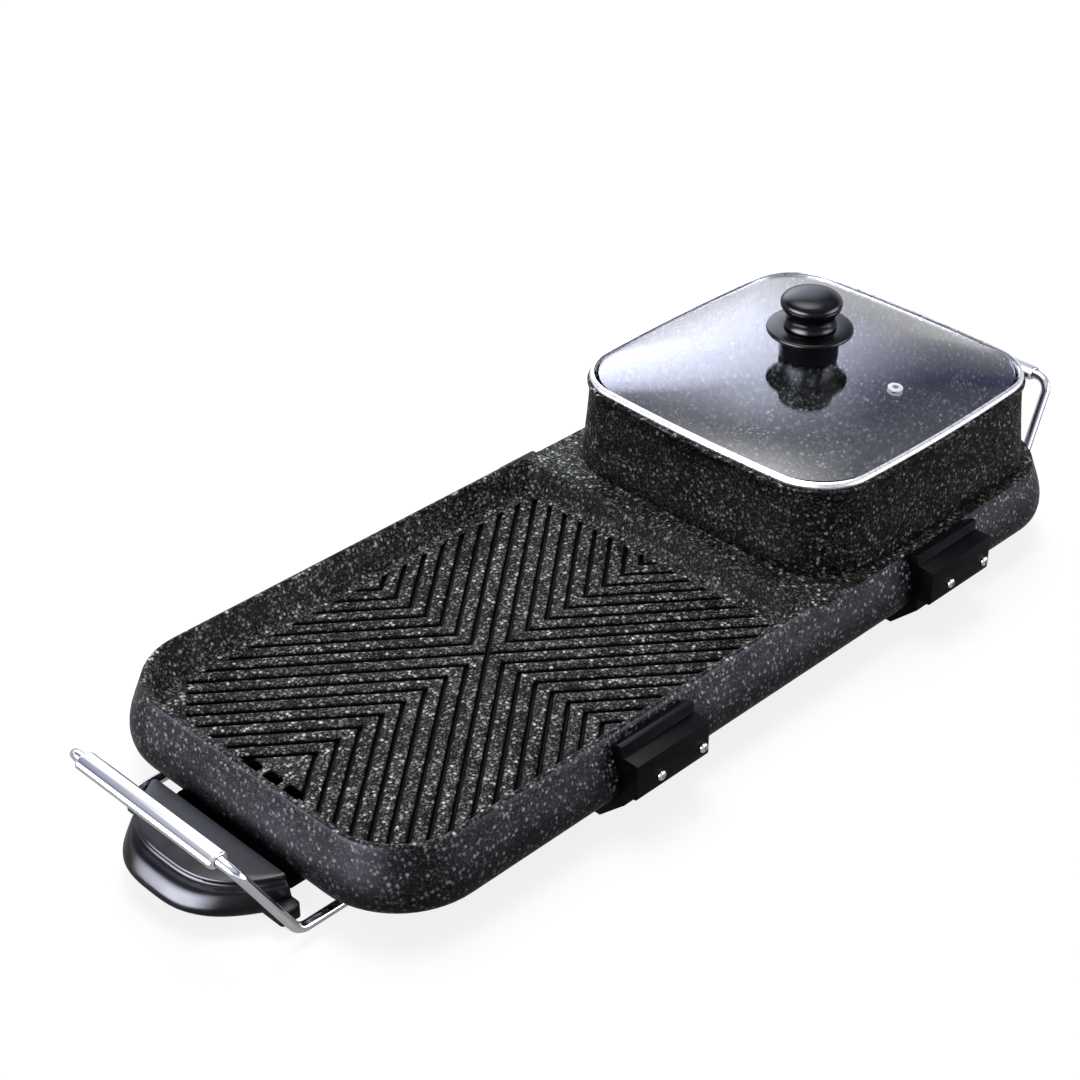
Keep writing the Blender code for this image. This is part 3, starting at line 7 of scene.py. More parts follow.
import bmesh
import bpy
import numpy
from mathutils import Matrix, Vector


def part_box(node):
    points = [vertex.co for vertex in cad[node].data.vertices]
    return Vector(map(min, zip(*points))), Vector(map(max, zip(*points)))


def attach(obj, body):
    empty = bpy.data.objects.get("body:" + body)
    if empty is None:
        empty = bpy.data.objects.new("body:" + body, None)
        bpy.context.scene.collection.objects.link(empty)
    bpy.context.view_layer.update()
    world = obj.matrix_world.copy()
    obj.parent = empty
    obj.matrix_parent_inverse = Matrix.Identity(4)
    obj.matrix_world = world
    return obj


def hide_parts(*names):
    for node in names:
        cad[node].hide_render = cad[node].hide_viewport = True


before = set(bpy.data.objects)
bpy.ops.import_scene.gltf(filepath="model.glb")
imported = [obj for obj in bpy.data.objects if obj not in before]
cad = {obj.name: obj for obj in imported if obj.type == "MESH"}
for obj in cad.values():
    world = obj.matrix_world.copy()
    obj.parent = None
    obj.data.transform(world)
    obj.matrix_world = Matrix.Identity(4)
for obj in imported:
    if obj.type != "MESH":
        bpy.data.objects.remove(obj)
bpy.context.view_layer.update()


# The pan: one aluminium casting with a bulged outer wall, a ribbed basin at the grill end and a square
# well at the other. It is cast upside down in one pour, its grooves are part of the mould, and it is
# sprayed all over with a black stone-effect coating full of pale grit.


def in_object_mode():
    if bpy.context.mode != "OBJECT":
        bpy.ops.object.mode_set(mode="OBJECT")


def take_only(piece):
    """Selects one piece alone, in object mode."""
    in_object_mode()
    bpy.ops.object.select_all(action="DESELECT")
    piece.select_set(True)
    bpy.context.view_layer.objects.active = piece


def settle(piece):
    """Puts a piece's place and turn into its mesh."""
    take_only(piece)
    bpy.ops.object.transform_apply(location=True, rotation=True, scale=True)


def add_block(name, low, high):
    """A block between two corners, alone in the selection and open for editing."""
    in_object_mode()
    bpy.ops.object.select_all(action="DESELECT")
    middle = [(a + b) / 2 for a, b in zip(low, high)]
    bpy.ops.mesh.primitive_cube_add(size=1, location=middle)
    block = bpy.context.object
    block.name = name
    block.data.name = name
    block.scale = [b - a for a, b in zip(low, high)]
    settle(block)
    bpy.ops.object.mode_set(mode="EDIT")
    return block


def add_round(name, radius, low, high, centre=(0, 0), sides=64):
    """An upright cylinder between two heights, alone in the selection and open for editing."""
    in_object_mode()
    bpy.ops.object.select_all(action="DESELECT")
    place = (centre[0], centre[1], (low + high) / 2)
    bpy.ops.mesh.primitive_cylinder_add(vertices=sides, radius=radius, depth=high - low, location=place)
    drum = bpy.context.object
    drum.name = name
    drum.data.name = name
    settle(drum)
    bpy.ops.object.mode_set(mode="EDIT")
    return drum


def open_mesh():
    return bmesh.from_edit_mesh(bpy.context.edit_object.data)


def pick_faces(test):
    """Selects the faces of the open mesh whose middle and direction pass the test."""
    bpy.ops.mesh.select_mode(type="FACE")
    bpy.ops.mesh.select_all(action="DESELECT")
    mesh = open_mesh()
    for face in mesh.faces:
        face.select_set(test(face.calc_center_median(), face.normal))
    bmesh.update_edit_mesh(bpy.context.edit_object.data)


def pick_edges(test):
    """Selects the edges of the open mesh whose middle and span pass the test."""
    bpy.ops.mesh.select_mode(type="EDGE")
    bpy.ops.mesh.select_all(action="DESELECT")
    mesh = open_mesh()
    for edge in mesh.edges:
        start, end = (corner.co for corner in edge.verts)
        edge.select_set(test((start + end) / 2, end - start))
    bmesh.update_edit_mesh(bpy.context.edit_object.data)


def pick_points(test):
    bpy.ops.mesh.select_mode(type="VERT")
    bpy.ops.mesh.select_all(action="DESELECT")
    mesh = open_mesh()
    for point in mesh.verts:
        point.select_set(test(point.co))
    bmesh.update_edit_mesh(bpy.context.edit_object.data)


def pick_top():
    highest = max(point.co.z for point in open_mesh().verts)
    pick_faces(lambda middle, way: abs(way.z) > 0.9 and middle.z > highest - 1e-5)


def pick_bottom():
    lowest = min(point.co.z for point in open_mesh().verts)
    pick_faces(lambda middle, way: abs(way.z) > 0.9 and middle.z < lowest + 1e-5)


def move_picked(x=0, y=0, z=0):
    bpy.ops.transform.translate(value=(x, y, z))


def extrude_picked(x=0, y=0, z=0):
    bpy.ops.mesh.extrude_region_move(TRANSFORM_OT_translate={"value": (x, y, z)})


def resize_picked(x, y, centre):
    bpy.ops.transform.resize(value=(x, y, 1), center_override=centre)


def outline(half_x, half_y, corner, middle_x=0):
    """A rounded rectangle: its ends in x, its half width, and its corners at the grill and pot end."""
    return (middle_x - half_x, middle_x + half_x, half_y, corner, corner)


def outline_marks(shape, x):
    """Where an outline's corners meet its sides, along x and, for the end that x is at, along y."""
    start, end, half_y, corner, pot_end_corner = shape
    radius = corner if x < (start + end) / 2 else pot_end_corner
    along = (start, start + corner, end - pot_end_corner, end)
    return along, (-half_y, -half_y + radius, half_y - radius, half_y)


def refit_picked(old, new):
    """Moves the picked ring from one outline to another, corner onto corner and side onto side."""
    for point in open_mesh().verts:
        if point.select:
            old_x, old_y = outline_marks(old, point.co.x)
            along = numpy.interp(point.co.x, old_x, outline_marks(new, point.co.x)[0])
            new_y = outline_marks(new, along)[1]
            point.co.y = numpy.interp(point.co.y, old_y, new_y)
            point.co.x = along
    bmesh.update_edit_mesh(bpy.context.edit_object.data)


def draw_through(steps):
    """Extrudes the picked face from one (outline, height) step to the next."""
    for (old, height), (new, next_height) in zip(steps, steps[1:]):
        extrude_picked(z=next_height - height)
        refit_picked(old, new)


def round_upright_edges(radius, steps=16, where=lambda middle: True):
    pick_edges(lambda middle, span: abs(span.z) > 0.99 * span.length and where(middle))
    bpy.ops.mesh.bevel(offset=radius, offset_type="OFFSET", segments=steps, affect="EDGES")


def add_rounded_block(name, shape, low, high, steps=16):
    """A block with an outline's rounded corners, open for editing."""
    start, end, half_y, corner, pot_end_corner = shape
    block = add_block(name, (start, -half_y, low), (end, half_y, high))
    middle = (start + end) / 2
    round_upright_edges(corner, steps, lambda place: place.x < middle)
    round_upright_edges(pot_end_corner, steps, lambda place: place.x > max(middle, end - 1e-4))
    return block


def apply_modifier(piece, kind, **settings):
    """Adds one modifier to a piece and applies it at once."""
    take_only(piece)
    modifier = piece.modifiers.new(kind.title(), kind)
    for setting, value in settings.items():
        setattr(modifier, setting, value)
    bpy.ops.object.modifier_apply(modifier=modifier.name)


def cut_away(piece, *cutters, operation="DIFFERENCE"):
    for cutter in cutters:
        apply_modifier(piece, "BOOLEAN", object=cutter, operation=operation, solver="EXACT")
        bpy.data.objects.remove(cutter)


def smooth_off(piece, angle):
    """Shades a piece smooth but for its sharp edges."""
    take_only(piece)
    bpy.ops.object.shade_smooth_by_angle(angle=math.radians(angle))


RIM = {"half_x": 0.285, "half_y": 0.1175, "corner": 0.046}


def pan_outline(out):
    """The pan's outline, set out from its rim's."""
    return outline(RIM["half_x"] + out, RIM["half_y"] + out, RIM["corner"] + out)


# Out from the rim's outline and height: up to the rim, and down to the foot of the skirt
WALL_UP = (
    (0.0090, 0.0258),
    (0.0089, 0.0285),
    (0.0086, 0.0310),
    (0.0080, 0.0340),
    (0.0071, 0.0372),
    (0.0060, 0.0405),
    (0.0047, 0.0440),
    (0.0034, 0.0475),
    (0.0023, 0.0508),
    (0.0013, 0.0536),
    (0.0006, 0.0555),
    (0.0000, 0.0565),
    (-0.0006, 0.0569),
    (-0.0011, 0.0570),
)
WALL_DOWN = (
    (0.0090, 0.0256),
    (0.0087, 0.0233),
    (0.0081, 0.0210),
    (0.0070, 0.0190),
    (0.0056, 0.0178),
    (0.0041, 0.0170),
)


def wall_steps(profile, gap=0):
    return [(pan_outline(out + gap), height) for out, height in profile]


def add_wall_form(name, gap=0):
    """The pan's outer form, set out by a gap."""
    form = add_rounded_block(name, pan_outline(WALL_UP[0][0] + gap), WALL_DOWN[0][1], WALL_UP[0][1])
    pick_top()
    draw_through(wall_steps(WALL_UP, gap))
    pick_bottom()
    draw_through(wall_steps(WALL_DOWN, gap))
    return form


pan = add_wall_form("base_pan_cast")

# The hollow under the floor, as a core leaves it, in the same pairs
HOLLOW_UP = (
    (0.0052, 0.0260),
    (0.0033, 0.0394),
    (0.0010, 0.0466),
    (-0.0022, 0.0501),
    (-0.0058, 0.0419),
    (-0.0113, 0.0328),
    (-0.0138, 0.0295),
)
HOLLOW_DOWN = ((0.0052, 0.0256), (0.0024, 0.0186), (0.0024, 0.0100))
hollow = add_rounded_block("hollow_core", pan_outline(HOLLOW_UP[0][0]), HOLLOW_DOWN[0][1], HOLLOW_UP[0][1])
pick_top()
draw_through(wall_steps(HOLLOW_UP))
pick_bottom()
draw_through(wall_steps(HOLLOW_DOWN))

# The basin: its wall leans out, its foot is a wide fillet, and its corners at the pot end are tight.
# Way in from the rim's outline and height, from the floor up
BASIN_UP = (
    (0.0145, 0.0385),
    (0.0132, 0.0387),
    (0.0120, 0.0392),
    (0.0109, 0.0401),
    (0.0100, 0.0412),
    (0.0092, 0.0426),
    (0.0086, 0.0441),
    (0.0036, 0.0556),
    (0.0031, 0.0563),
    (0.0024, 0.0568),
    (0.0016, 0.0571),
    (0.0016, 0.0700),
)
BULKHEAD = {"top_x": 0.039, "lean": 0.0075, "top_way_in": 0.0030, "foot_way_in": 0.0145, "corner": 0.011}


def basin_outline(way_in):
    """The basin's outline, set in from the rim's, with the bulkhead's own lean at the pot end."""
    top, foot = BULKHEAD["top_way_in"], BULKHEAD["foot_way_in"]
    end = BULKHEAD["top_x"] - BULKHEAD["lean"] * (way_in - top) / (foot - top)
    start = -RIM["half_x"] + way_in
    return (start, end, RIM["half_y"] - way_in, RIM["corner"] - way_in, BULKHEAD["corner"])


basin_steps = [(basin_outline(way_in), height) for way_in, height in reversed(BASIN_UP)]
basin = add_rounded_block("basin_core", basin_steps[0][0], basin_steps[0][1], 0.0710)
pick_bottom()
draw_through(basin_steps)

# The land that the pot stands on, one step below the rim, behind a slope up to the bulkhead's crest
LAND = {"start": 0.0405, "height": 0.0526, "slope": 0.0224}
land = add_block("land_core", (LAND["start"], -0.16, LAND["height"]), (0.32, 0.16, 0.075))
pick_points(lambda place: place.x < 0.1 and place.z > 0.07)
move_picked(x=-LAND["slope"])

# The well, square about the pot's middle. Half size, corner, height
POT_X = 0.1705
WELL_DOWN = (
    (0.1067, 0.0362, 0.0560),
    (0.1055, 0.0350, 0.0526),
    (0.1055, 0.0350, 0.0405),
    (0.1045, 0.0340, 0.0375),
    (0.1005, 0.0300, 0.0355),
)
well_steps = [(outline(half, half, corner, POT_X), height) for half, corner, height in WELL_DOWN]
well = add_rounded_block("well_core", well_steps[0][0], well_steps[0][1], 0.0700)
pick_bottom()
draw_through(well_steps)
cut_away(pan, hollow, basin, land, well)

# The crest between the basin and the land is eased, so that the coating holds on it
bpy.ops.object.mode_set(mode="EDIT")
crest = (0.036, LAND["start"])
pick_edges(lambda middle, span: crest[0] < middle.x < crest[1] and middle.z > 0.054 and abs(span.y) > 0.05)
bpy.ops.mesh.bevel(offset=0.0007, segments=3, affect="EDGES")

# The grooves: one tapered bar with a flared lip, repeated over a quarter of the basin and mirrored twice
GROOVE = {"pitch": 0.0101, "angle": math.radians(39), "middle": -0.1075, "count": 16, "first": -8}
BAR = {"half_length": 0.170, "half_width": 0.0028, "low": 0.0350, "high": 0.0392}
# Height, half width
BAR_UP = (
    (0.0350, 0.0004),
    (0.0353, 0.0008),
    (0.0370, 0.0010),
    (0.0376, 0.0012),
    (0.0380, 0.0015),
    (0.0383, 0.0019),
    (0.0385, 0.0025),
)
start = (-BAR["half_length"], -BAR["half_width"], BAR["low"])
bar = add_block("groove_bar", start, (BAR["half_length"], BAR["half_width"], BAR["high"]))
for height, _ in BAR_UP[1:]:
    bpy.ops.mesh.select_all(action="SELECT")
    bpy.ops.mesh.bisect(plane_co=(0, 0, height), plane_no=(0, 0, 1))
for height, half in BAR_UP:
    pick_points(lambda place: abs(place.z - height) < 1e-5)
    resize_picked(1, half / BAR["half_width"], (0, 0, height))
across = Vector((-math.sin(GROOVE["angle"]), math.cos(GROOVE["angle"]), 0)) * GROOVE["pitch"]
bar.rotation_euler.z = GROOVE["angle"]
bar.location = across * GROOVE["first"]
settle(bar)
apply_modifier(
    bar,
    "ARRAY",
    count=GROOVE["count"],
    use_relative_offset=False,
    use_constant_offset=True,
    constant_offset_displace=across,
)
bpy.ops.object.mode_set(mode="EDIT")
for direction in ((1, 0, 0), (0, 1, 0)):
    bpy.ops.mesh.select_all(action="SELECT")
    bpy.ops.mesh.bisect(plane_co=(0, 0, 0), plane_no=direction, clear_inner=True)
in_object_mode()
apply_modifier(bar, "MIRROR", use_axis=(True, True, False), merge_threshold=1e-5)
bar.location.x = GROOVE["middle"]
settle(bar)
bpy.ops.object.mode_set(mode="EDIT")
bpy.ops.mesh.select_all(action="SELECT")
bpy.ops.mesh.normals_make_consistent(inside=False)
margin = add_rounded_block("groove_margin", (-0.2675, 0.0285, 0.100, 0.0285, 0.008), 0.0300, 0.0450)
cut_away(bar, margin, operation="INTERSECT")
cut_away(pan, bar)

# Three drain slots with dished tops in front of the grill end, and the far wall's opening for the inlet
DRAIN = {"x": -0.2665, "pitch": 0.0167, "half_x": 0.00375, "half_y": 0.0060, "corner": 0.0022}
DRAIN_DISH = 0.0012
for number in (-1, 0, 1):
    low_y, high_y = (number * DRAIN["pitch"] + way * DRAIN["half_y"] for way in (-1, 1))
    low_x, high_x = (DRAIN["x"] + way * DRAIN["half_x"] for way in (-1, 1))
    slot = add_block("drain_core", (low_x, low_y, 0.0200), (high_x, high_y, 0.0375))
    round_upright_edges(DRAIN["corner"], 6)
    pick_top()
    extrude_picked(z=DRAIN_DISH)
    bpy.ops.transform.resize(value=(1.25, 1.15, 1))
    cut_away(pan, slot)
opening = add_block("inlet_core", (0.0317, 0.1145, 0.0232), (0.0663, 0.1400, 0.0418))
cut_away(pan, opening)

# Six bosses under the floor for the cover's screws
BOSS = {"radius": 0.0045, "low": 0.0198, "high": 0.0320}
for x in (-0.225, -0.010, 0.245):
    for y in (-0.085, 0.085):
        boss = add_round("cover_boss", BOSS["radius"], BOSS["low"], BOSS["high"], (x, y), 24)
        cut_away(pan, boss, operation="UNION")
smooth_off(pan, 30)


def new_material(name):
    """A material with its nodes, and the shader to set."""
    material = bpy.data.materials.new(name)
    material.use_nodes = True
    shader = material.node_tree.nodes["Principled BSDF"]
    return material, shader


def join_to(material, source, target):
    material.node_tree.links.new(source, target)


def wire(material, kind, inputs=None, **settings):
    """One more node in a material, its settings and inputs set or joined."""
    node = material.node_tree.nodes.new(kind)
    for setting, value in settings.items():
        setattr(node, setting, value)
    for key, value in (inputs or {}).items():
        if isinstance(value, bpy.types.NodeSocket):
            join_to(material, value, node.inputs[key])
        else:
            node.inputs[key].default_value = value
    return node


def reckon(material, operation, first, second):
    """One step of arithmetic on two values."""
    return wire(material, "ShaderNodeMath", {0: first, 1: second}, operation=operation).outputs[0]


def place_on(material):
    """The place of a point on a piece, in metres."""
    return wire(material, "ShaderNodeTexCoord").outputs["Object"]


def noise_at(material, place, scale, detail):
    """Cloudy noise, with so many patches per metre."""
    return wire(material, "ShaderNodeTexNoise", {"Vector": place, "Scale": scale, "Detail": detail}).outputs


def spread_to(material, value, low, high, from_low=0, from_high=1):
    """A value taken from one range to another."""
    sockets = {"Value": value, "From Min": from_low, "From Max": from_high, "To Min": low, "To Max": high}
    return wire(material, "ShaderNodeMapRange", sockets, clamp=True).outputs["Result"]


def blend_colours(material, share, first, second):
    """The first colour, or a socket with it, taken over by the second where the share is high."""
    node = wire(material, "ShaderNodeMix", {"Factor": share}, data_type="RGBA")
    for socket, colour in ((node.inputs[6], first), (node.inputs[7], second)):
        if isinstance(colour, bpy.types.NodeSocket):
            join_to(material, colour, socket)
        else:
            socket.default_value = (*colour, 1)
    return node.outputs[2]


# Cells per metre, radius of a grain in its cell, share of cells that hold one, its palest tone
GRIT = (
    (1100, 0.58, 0.85, 0.15),
    (620, 0.52, 0.66, 0.42),
    (370, 0.47, 0.46, 1.0),
    (230, 0.32, 0.20, 1.0),
)
# Patches per metre of the cloudy tone, and of the push that takes grains out of round
CLOUDS = 60
PUSHES = 650
# How far grains are pushed, where the grooved half ends, over what height the painted shade in a groove
# fades, and between which heights the painted shade low on a wall gives way to the full tone
WOBBLE = 0.0018
GROOVES_END = 0.05
GROOVE_EDGE = 0.0009
WALL_FOOT_SHADE_HEIGHTS = (0.026, 0.047)


def stone_coating(name, dark, pale, mist, dimming, groove_shade_below, wall_foot_shade_share, refraction, roughness):
    """Black sprayed stone-effect coating with pale grains of four sizes. Mist scales the fine ones' tone,
    and dimming is a power that darkens all. Below a set height, the basin's grooves show no grains: painted
    shade that makes them read dark. A wall's grains also dim towards its foot, down to a set share: painted
    shade, as if the wall were lit only from above."""
    material, shader = new_material(name)
    place = place_on(material)
    cloud = noise_at(material, place, CLOUDS, 2)["Fac"]
    painted = blend_colours(material, cloud, [tone * 0.6 for tone in dark], [tone * 1.4 for tone in dark])
    pushed = {0: noise_at(material, place, PUSHES, 1)["Color"], 1: (WOBBLE,) * 3, 2: place}
    uneven = wire(material, "ShaderNodeVectorMath", pushed, operation="MULTIPLY_ADD").outputs["Vector"]
    point = wire(material, "ShaderNodeSeparateXYZ", {"Vector": place}).outputs
    # Painted shade: below a set height the basin's grooves lose their grains, so that they read dark
    groove_shade = spread_to(material, point["Z"], 1, 0, groove_shade_below - GROOVE_EDGE, groove_shade_below)
    in_basin = reckon(material, "LESS_THAN", point["X"], GROOVES_END)
    clear_of_groove_shade = reckon(material, "SUBTRACT", 1, reckon(material, "MULTIPLY", groove_shade, in_basin))
    # Painted shade: a wall's grains dim towards its foot, down to a set share, as if lit only from above
    painted_wall_foot_shade = spread_to(material, point["Z"], wall_foot_shade_share, 1, *WALL_FOOT_SHADE_HEIGHTS)
    height = None
    for cells, radius, share, palest in GRIT:
        palest *= mist if palest < 1 else 1
        grains = wire(material, "ShaderNodeTexVoronoi", {"Vector": uneven, "Scale": cells}).outputs
        inside = spread_to(material, grains["Distance"], 1, 0, radius * 0.3, radius)
        chance = wire(material, "ShaderNodeSeparateColor", {"Color": grains["Color"]}).outputs
        crowd = spread_to(material, cloud, share * 0.7, share * 1.3, 0.35, 0.65)
        kept = reckon(material, "LESS_THAN", chance["Red"], crowd)
        dimmed = reckon(material, "POWER", chance["Green"], dimming)
        tone = reckon(material, "MULTIPLY", spread_to(material, dimmed, palest * 0.16, palest), painted_wall_foot_shade)
        grain = reckon(material, "MULTIPLY", reckon(material, "MULTIPLY", inside, kept), clear_of_groove_shade)
        painted = blend_colours(material, reckon(material, "MULTIPLY", grain, tone), painted, pale)
        height = grain if height is None else reckon(material, "MAXIMUM", height, grain)
    join_to(material, painted, shader.inputs["Base Color"])
    shader.inputs["Roughness"].default_value = roughness
    shader.inputs["IOR"].default_value = refraction
    bump = wire(material, "ShaderNodeBump", {"Height": height, "Strength": 0.35, "Distance": 0.0002})
    join_to(material, bump.outputs["Normal"], shader.inputs["Normal"])
    return material


inside_coating = stone_coating(
    "stone_coating_inside",
    dark=(0.0042, 0.0050, 0.0040),
    pale=(0.86, 0.89, 0.83),
    mist=1.1,
    dimming=1.9,
    groove_shade_below=0.0384,
    wall_foot_shade_share=1.0,
    refraction=1.10,
    roughness=0.42,
)
# The outer wall's copy of the coating: its lavender tint in the dark and in the grains is a painted sheen,
# the tint of the bluish light that the wall mirrors, and its grains dim low on the wall as painted shade
outside_coating_painted_sheen = stone_coating(
    "stone_coating_outside_painted_sheen",
    dark=(0.0030, 0.0032, 0.0056),
    pale=(0.95, 0.94, 1.0),
    mist=0.60,
    dimming=0.8,
    groove_shade_below=0,
    wall_foot_shade_share=0.42,
    refraction=1.21,
    roughness=0.34,
)
pan.data.materials.append(inside_coating)
pan.data.materials.append(outside_coating_painted_sheen)
# The outside begins just inside the rim's outline
for face in pan.data.polygons:
    away_x = max(abs(face.center.x) - (RIM["half_x"] - RIM["corner"]), 0)
    away_y = max(abs(face.center.y) - (RIM["half_y"] - RIM["corner"]), 0)
    face.material_index = 1 if math.hypot(away_x, away_y) > RIM["corner"] - 0.0005 else 0
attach(pan, "pan")
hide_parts("base_pan")


# The heaters and their straps, wires, pins and probe tube: bought tubular heaters with a grey oxide
# skin, strapped under the floor and wired in series from the pins in the far wall. Their CAD shapes stay.


def worn_metal(name, colour, roughness, grain, metallic=1.0, spread=0.12):
    """Metal whose tone and shine vary a little, as rolled or drawn stock does, in grains per metre."""
    material, shader = new_material(name)
    noise = noise_at(material, place_on(material), grain, 3)["Fac"]
    darker = [tone * (1 - spread) for tone in colour]
    paler = [min(tone * (1 + spread), 1) for tone in colour]
    join_to(material, blend_colours(material, noise, darker, paler), shader.inputs["Base Color"])
    shine = spread_to(material, noise, roughness * 0.8, roughness * 1.25, 0.3, 0.7)
    join_to(material, shine, shader.inputs["Roughness"])
    shader.inputs["Metallic"].default_value = metallic
    return material


def dress(material, *names):
    """Gives CAD nodes a better material in place of their plain one."""
    for name in names:
        mesh = cad[name].data
        mesh.materials.clear()
        mesh.materials.append(material)


heater_skin = worn_metal("heater_oxide", (0.16, 0.15, 0.14), 0.5, 300)
zinc_steel = worn_metal("zinc_steel", (0.56, 0.57, 0.58), 0.3, 700)
brass_pins = worn_metal("brass_pins", (0.70, 0.52, 0.24), 0.25, 700)
wire_skin = worn_metal("wire_sleeve", (0.03, 0.03, 0.03), 0.5, 900, 0.0)
dress(heater_skin, "grill_heater", "pot_heater")
for end in ("grill", "pot"):
    dress(zinc_steel, "%s_heater_clip_near" % end, "%s_heater_clip_far" % end)
dress(zinc_steel, "probe_sleeve")
dress(brass_pins, "inlet_pin_a", "inlet_pin_b")
dress(wire_skin, "lead_grill", "lead_pot", "lead_link")


# The mains inlet: a moulded black socket with a flange, which shields the pins and the probe tube. It is
# pushed into the far wall's opening from outside.


def moulded(name, colour, roughness, refraction=1.5, mottle=0.25):
    """A heatproof moulding, glossy from the tool, with faint flow marks in its skin."""
    material, shader = new_material(name)
    flow = noise_at(material, place_on(material), 120, 4)["Fac"]
    darker = [tone * (1 - mottle) for tone in colour]
    paler = [tone * (1 + mottle) for tone in colour]
    join_to(material, blend_colours(material, flow, darker, paler), shader.inputs["Base Color"])
    shine = spread_to(material, flow, roughness * 0.85, roughness * 1.2, 0.3, 0.7)
    join_to(material, shine, shader.inputs["Roughness"])
    shader.inputs["IOR"].default_value = refraction
    return material


black_moulding = moulded("black_moulding", (0.0030, 0.0032, 0.0045), 0.34, 1.16)
dress(black_moulding, "inlet_shroud")


# The bottom cover: steel sheet painted black, with a window under the drain slots. It closes the hollow
# over the heaters, and six screws hold it to the bosses.
painted_sheet = worn_metal("painted_sheet", (0.020, 0.020, 0.021), 0.45, 500, 0.3)
dress(painted_sheet, "bottom_cover")
dress(zinc_steel, *["cover_screw_%d" % number for number in range(1, 7)])


# The feet: four moulded blocks on the long sides, each screwed on with two domed chrome screws. A block
# has a shelf in front of a back rib, and an arm under the pan's edge that ends in the sole. The far pair
# is lower.
FOOT = {"half": 0.0285, "face": 0.1400, "back": 0.1180, "under": 0.0250, "gap": 0.0003}
FOOT_RIB = {"face": 0.1290, "back": 0.1255, "lean": 0.0010, "run": 0.0075, "fall": 0.0045}
FOOT_ARM = {"face": 0.1305, "under": 0.0165, "top": 0.0300}
FOOT_SOLE = {"back": 0.0995, "top": 0.0167, "toe": 0.0176}
FOOT_PLACES = {"grill": -0.1035, "pot": 0.1530}
# Heights of the shelf and of the rib
FOOT_HEIGHTS = {"near": (0.0485, 0.0550), "far": (0.0355, 0.0465)}
# Radius, height over the head's seat
SCREW_SHANK = ((0.0011, -0.0187), (0.0015, -0.0180), (0.0015, 0))
SCREW_DOME = (
    (0.0030, 0),
    (0.0030, 0.0005),
    (0.00285, 0.0010),
    (0.0025, 0.0014),
    (0.0018, 0.0017),
    (0.0009, 0.0018),
)
SCREW_RECESS = (0.0017, 0.00035)


def turn_up(name, profile, sides=64, centre=(0, 0)):
    """A turned piece, drawn up from its lowest ring through (radius, height) pairs."""
    (radius, low), (next_radius, height) = profile[:2]
    piece = add_round(name, radius, low, height, centre, sides)
    pick_top()
    resize_picked(next_radius / radius, next_radius / radius, (*centre, height))
    for (radius, height), (next_radius, next_height) in zip(profile[1:], profile[2:]):
        extrude_picked(z=next_height - height)
        resize_picked(next_radius / radius, next_radius / radius, (*centre, next_height))
    return piece


def set_down(piece, place, turn=(0, 0, 0)):
    """Turns a finished piece, puts it in its place and leaves both in its mesh."""
    in_object_mode()
    piece.rotation_euler = [math.radians(angle) for angle in turn]
    piece.location = place
    settle(piece)


def copy_of(piece, name):
    """A copy with its own mesh."""
    twin = piece.copy()
    twin.data = piece.data.copy()
    twin.name = name
    twin.data.name = name
    bpy.context.collection.objects.link(twin)
    return twin


def pick_long_edges(test):
    """Selects the edges along x whose middle passes the test."""
    pick_edges(lambda middle, span: test(middle) and abs(span.x) > 0.02)


def model_foot(shelf_height, top_height):
    """One foot of the near side, about x = 0, with its back cut to the pan's wall."""
    half, face, under = FOOT["half"], -FOOT["face"], FOOT["under"]
    foot = add_block("foot_block", (-half, face, under), (half, -FOOT["back"], shelf_height))
    pick_long_edges(lambda middle: middle.y < face + 1e-3 and middle.z < under + 1e-3)
    bpy.ops.mesh.bevel(offset=0.002, segments=3, affect="EDGES")
    face, back = -FOOT_RIB["face"], -FOOT_RIB["back"]
    rib = add_block("foot_rib", (-half, face, shelf_height - 0.006), (half, back, top_height))
    pick_long_edges(lambda middle: middle.y < face + 1e-3 and middle.z > top_height - 1e-4)
    move_picked(y=FOOT_RIB["lean"])
    pick_faces(lambda middle, way: way.y > 0.9)
    extrude_picked(y=FOOT_RIB["run"])
    pick_long_edges(lambda middle: middle.y > back + 1e-3 and middle.z > top_height - 1e-4)
    move_picked(z=-FOOT_RIB["fall"])
    face = -FOOT_ARM["face"]
    arm = add_block("foot_arm", (-half, face, FOOT_ARM["under"]), (half, -FOOT["back"], FOOT_ARM["top"]))
    sole = add_block("foot_sole", (-half, face, 0), (half, -FOOT_SOLE["back"], FOOT_SOLE["top"]))
    pick_long_edges(lambda middle: middle.z < 1e-3 and middle.y < face + 1e-3)
    move_picked(y=FOOT_SOLE["toe"])
    cut_away(foot, rib, arm, sole, operation="UNION")
    wall = add_wall_form("wall_form", FOOT["gap"])
    pick_bottom()
    move_picked(z=-0.0004)
    cut_away(foot, wall)
    apply_modifier(
        foot, "BEVEL", width=0.0007, segments=3, limit_method="ANGLE", angle_limit=math.radians(40)
    )
    smooth_off(foot, 30)
    return foot


def model_foot_screw():
    """A domed screw with a cross recess, its head's seat at the origin and its shank down."""
    screw = turn_up("foot_screw", SCREW_SHANK + SCREW_DOME, 32)
    for reach_x, reach_y in (SCREW_RECESS, SCREW_RECESS[::-1]):
        slot = add_block("recess", (-reach_x, -reach_y, 0.0008), (reach_x, reach_y, 0.0030))
        cut_away(screw, slot)
    smooth_off(screw, 40)
    return screw


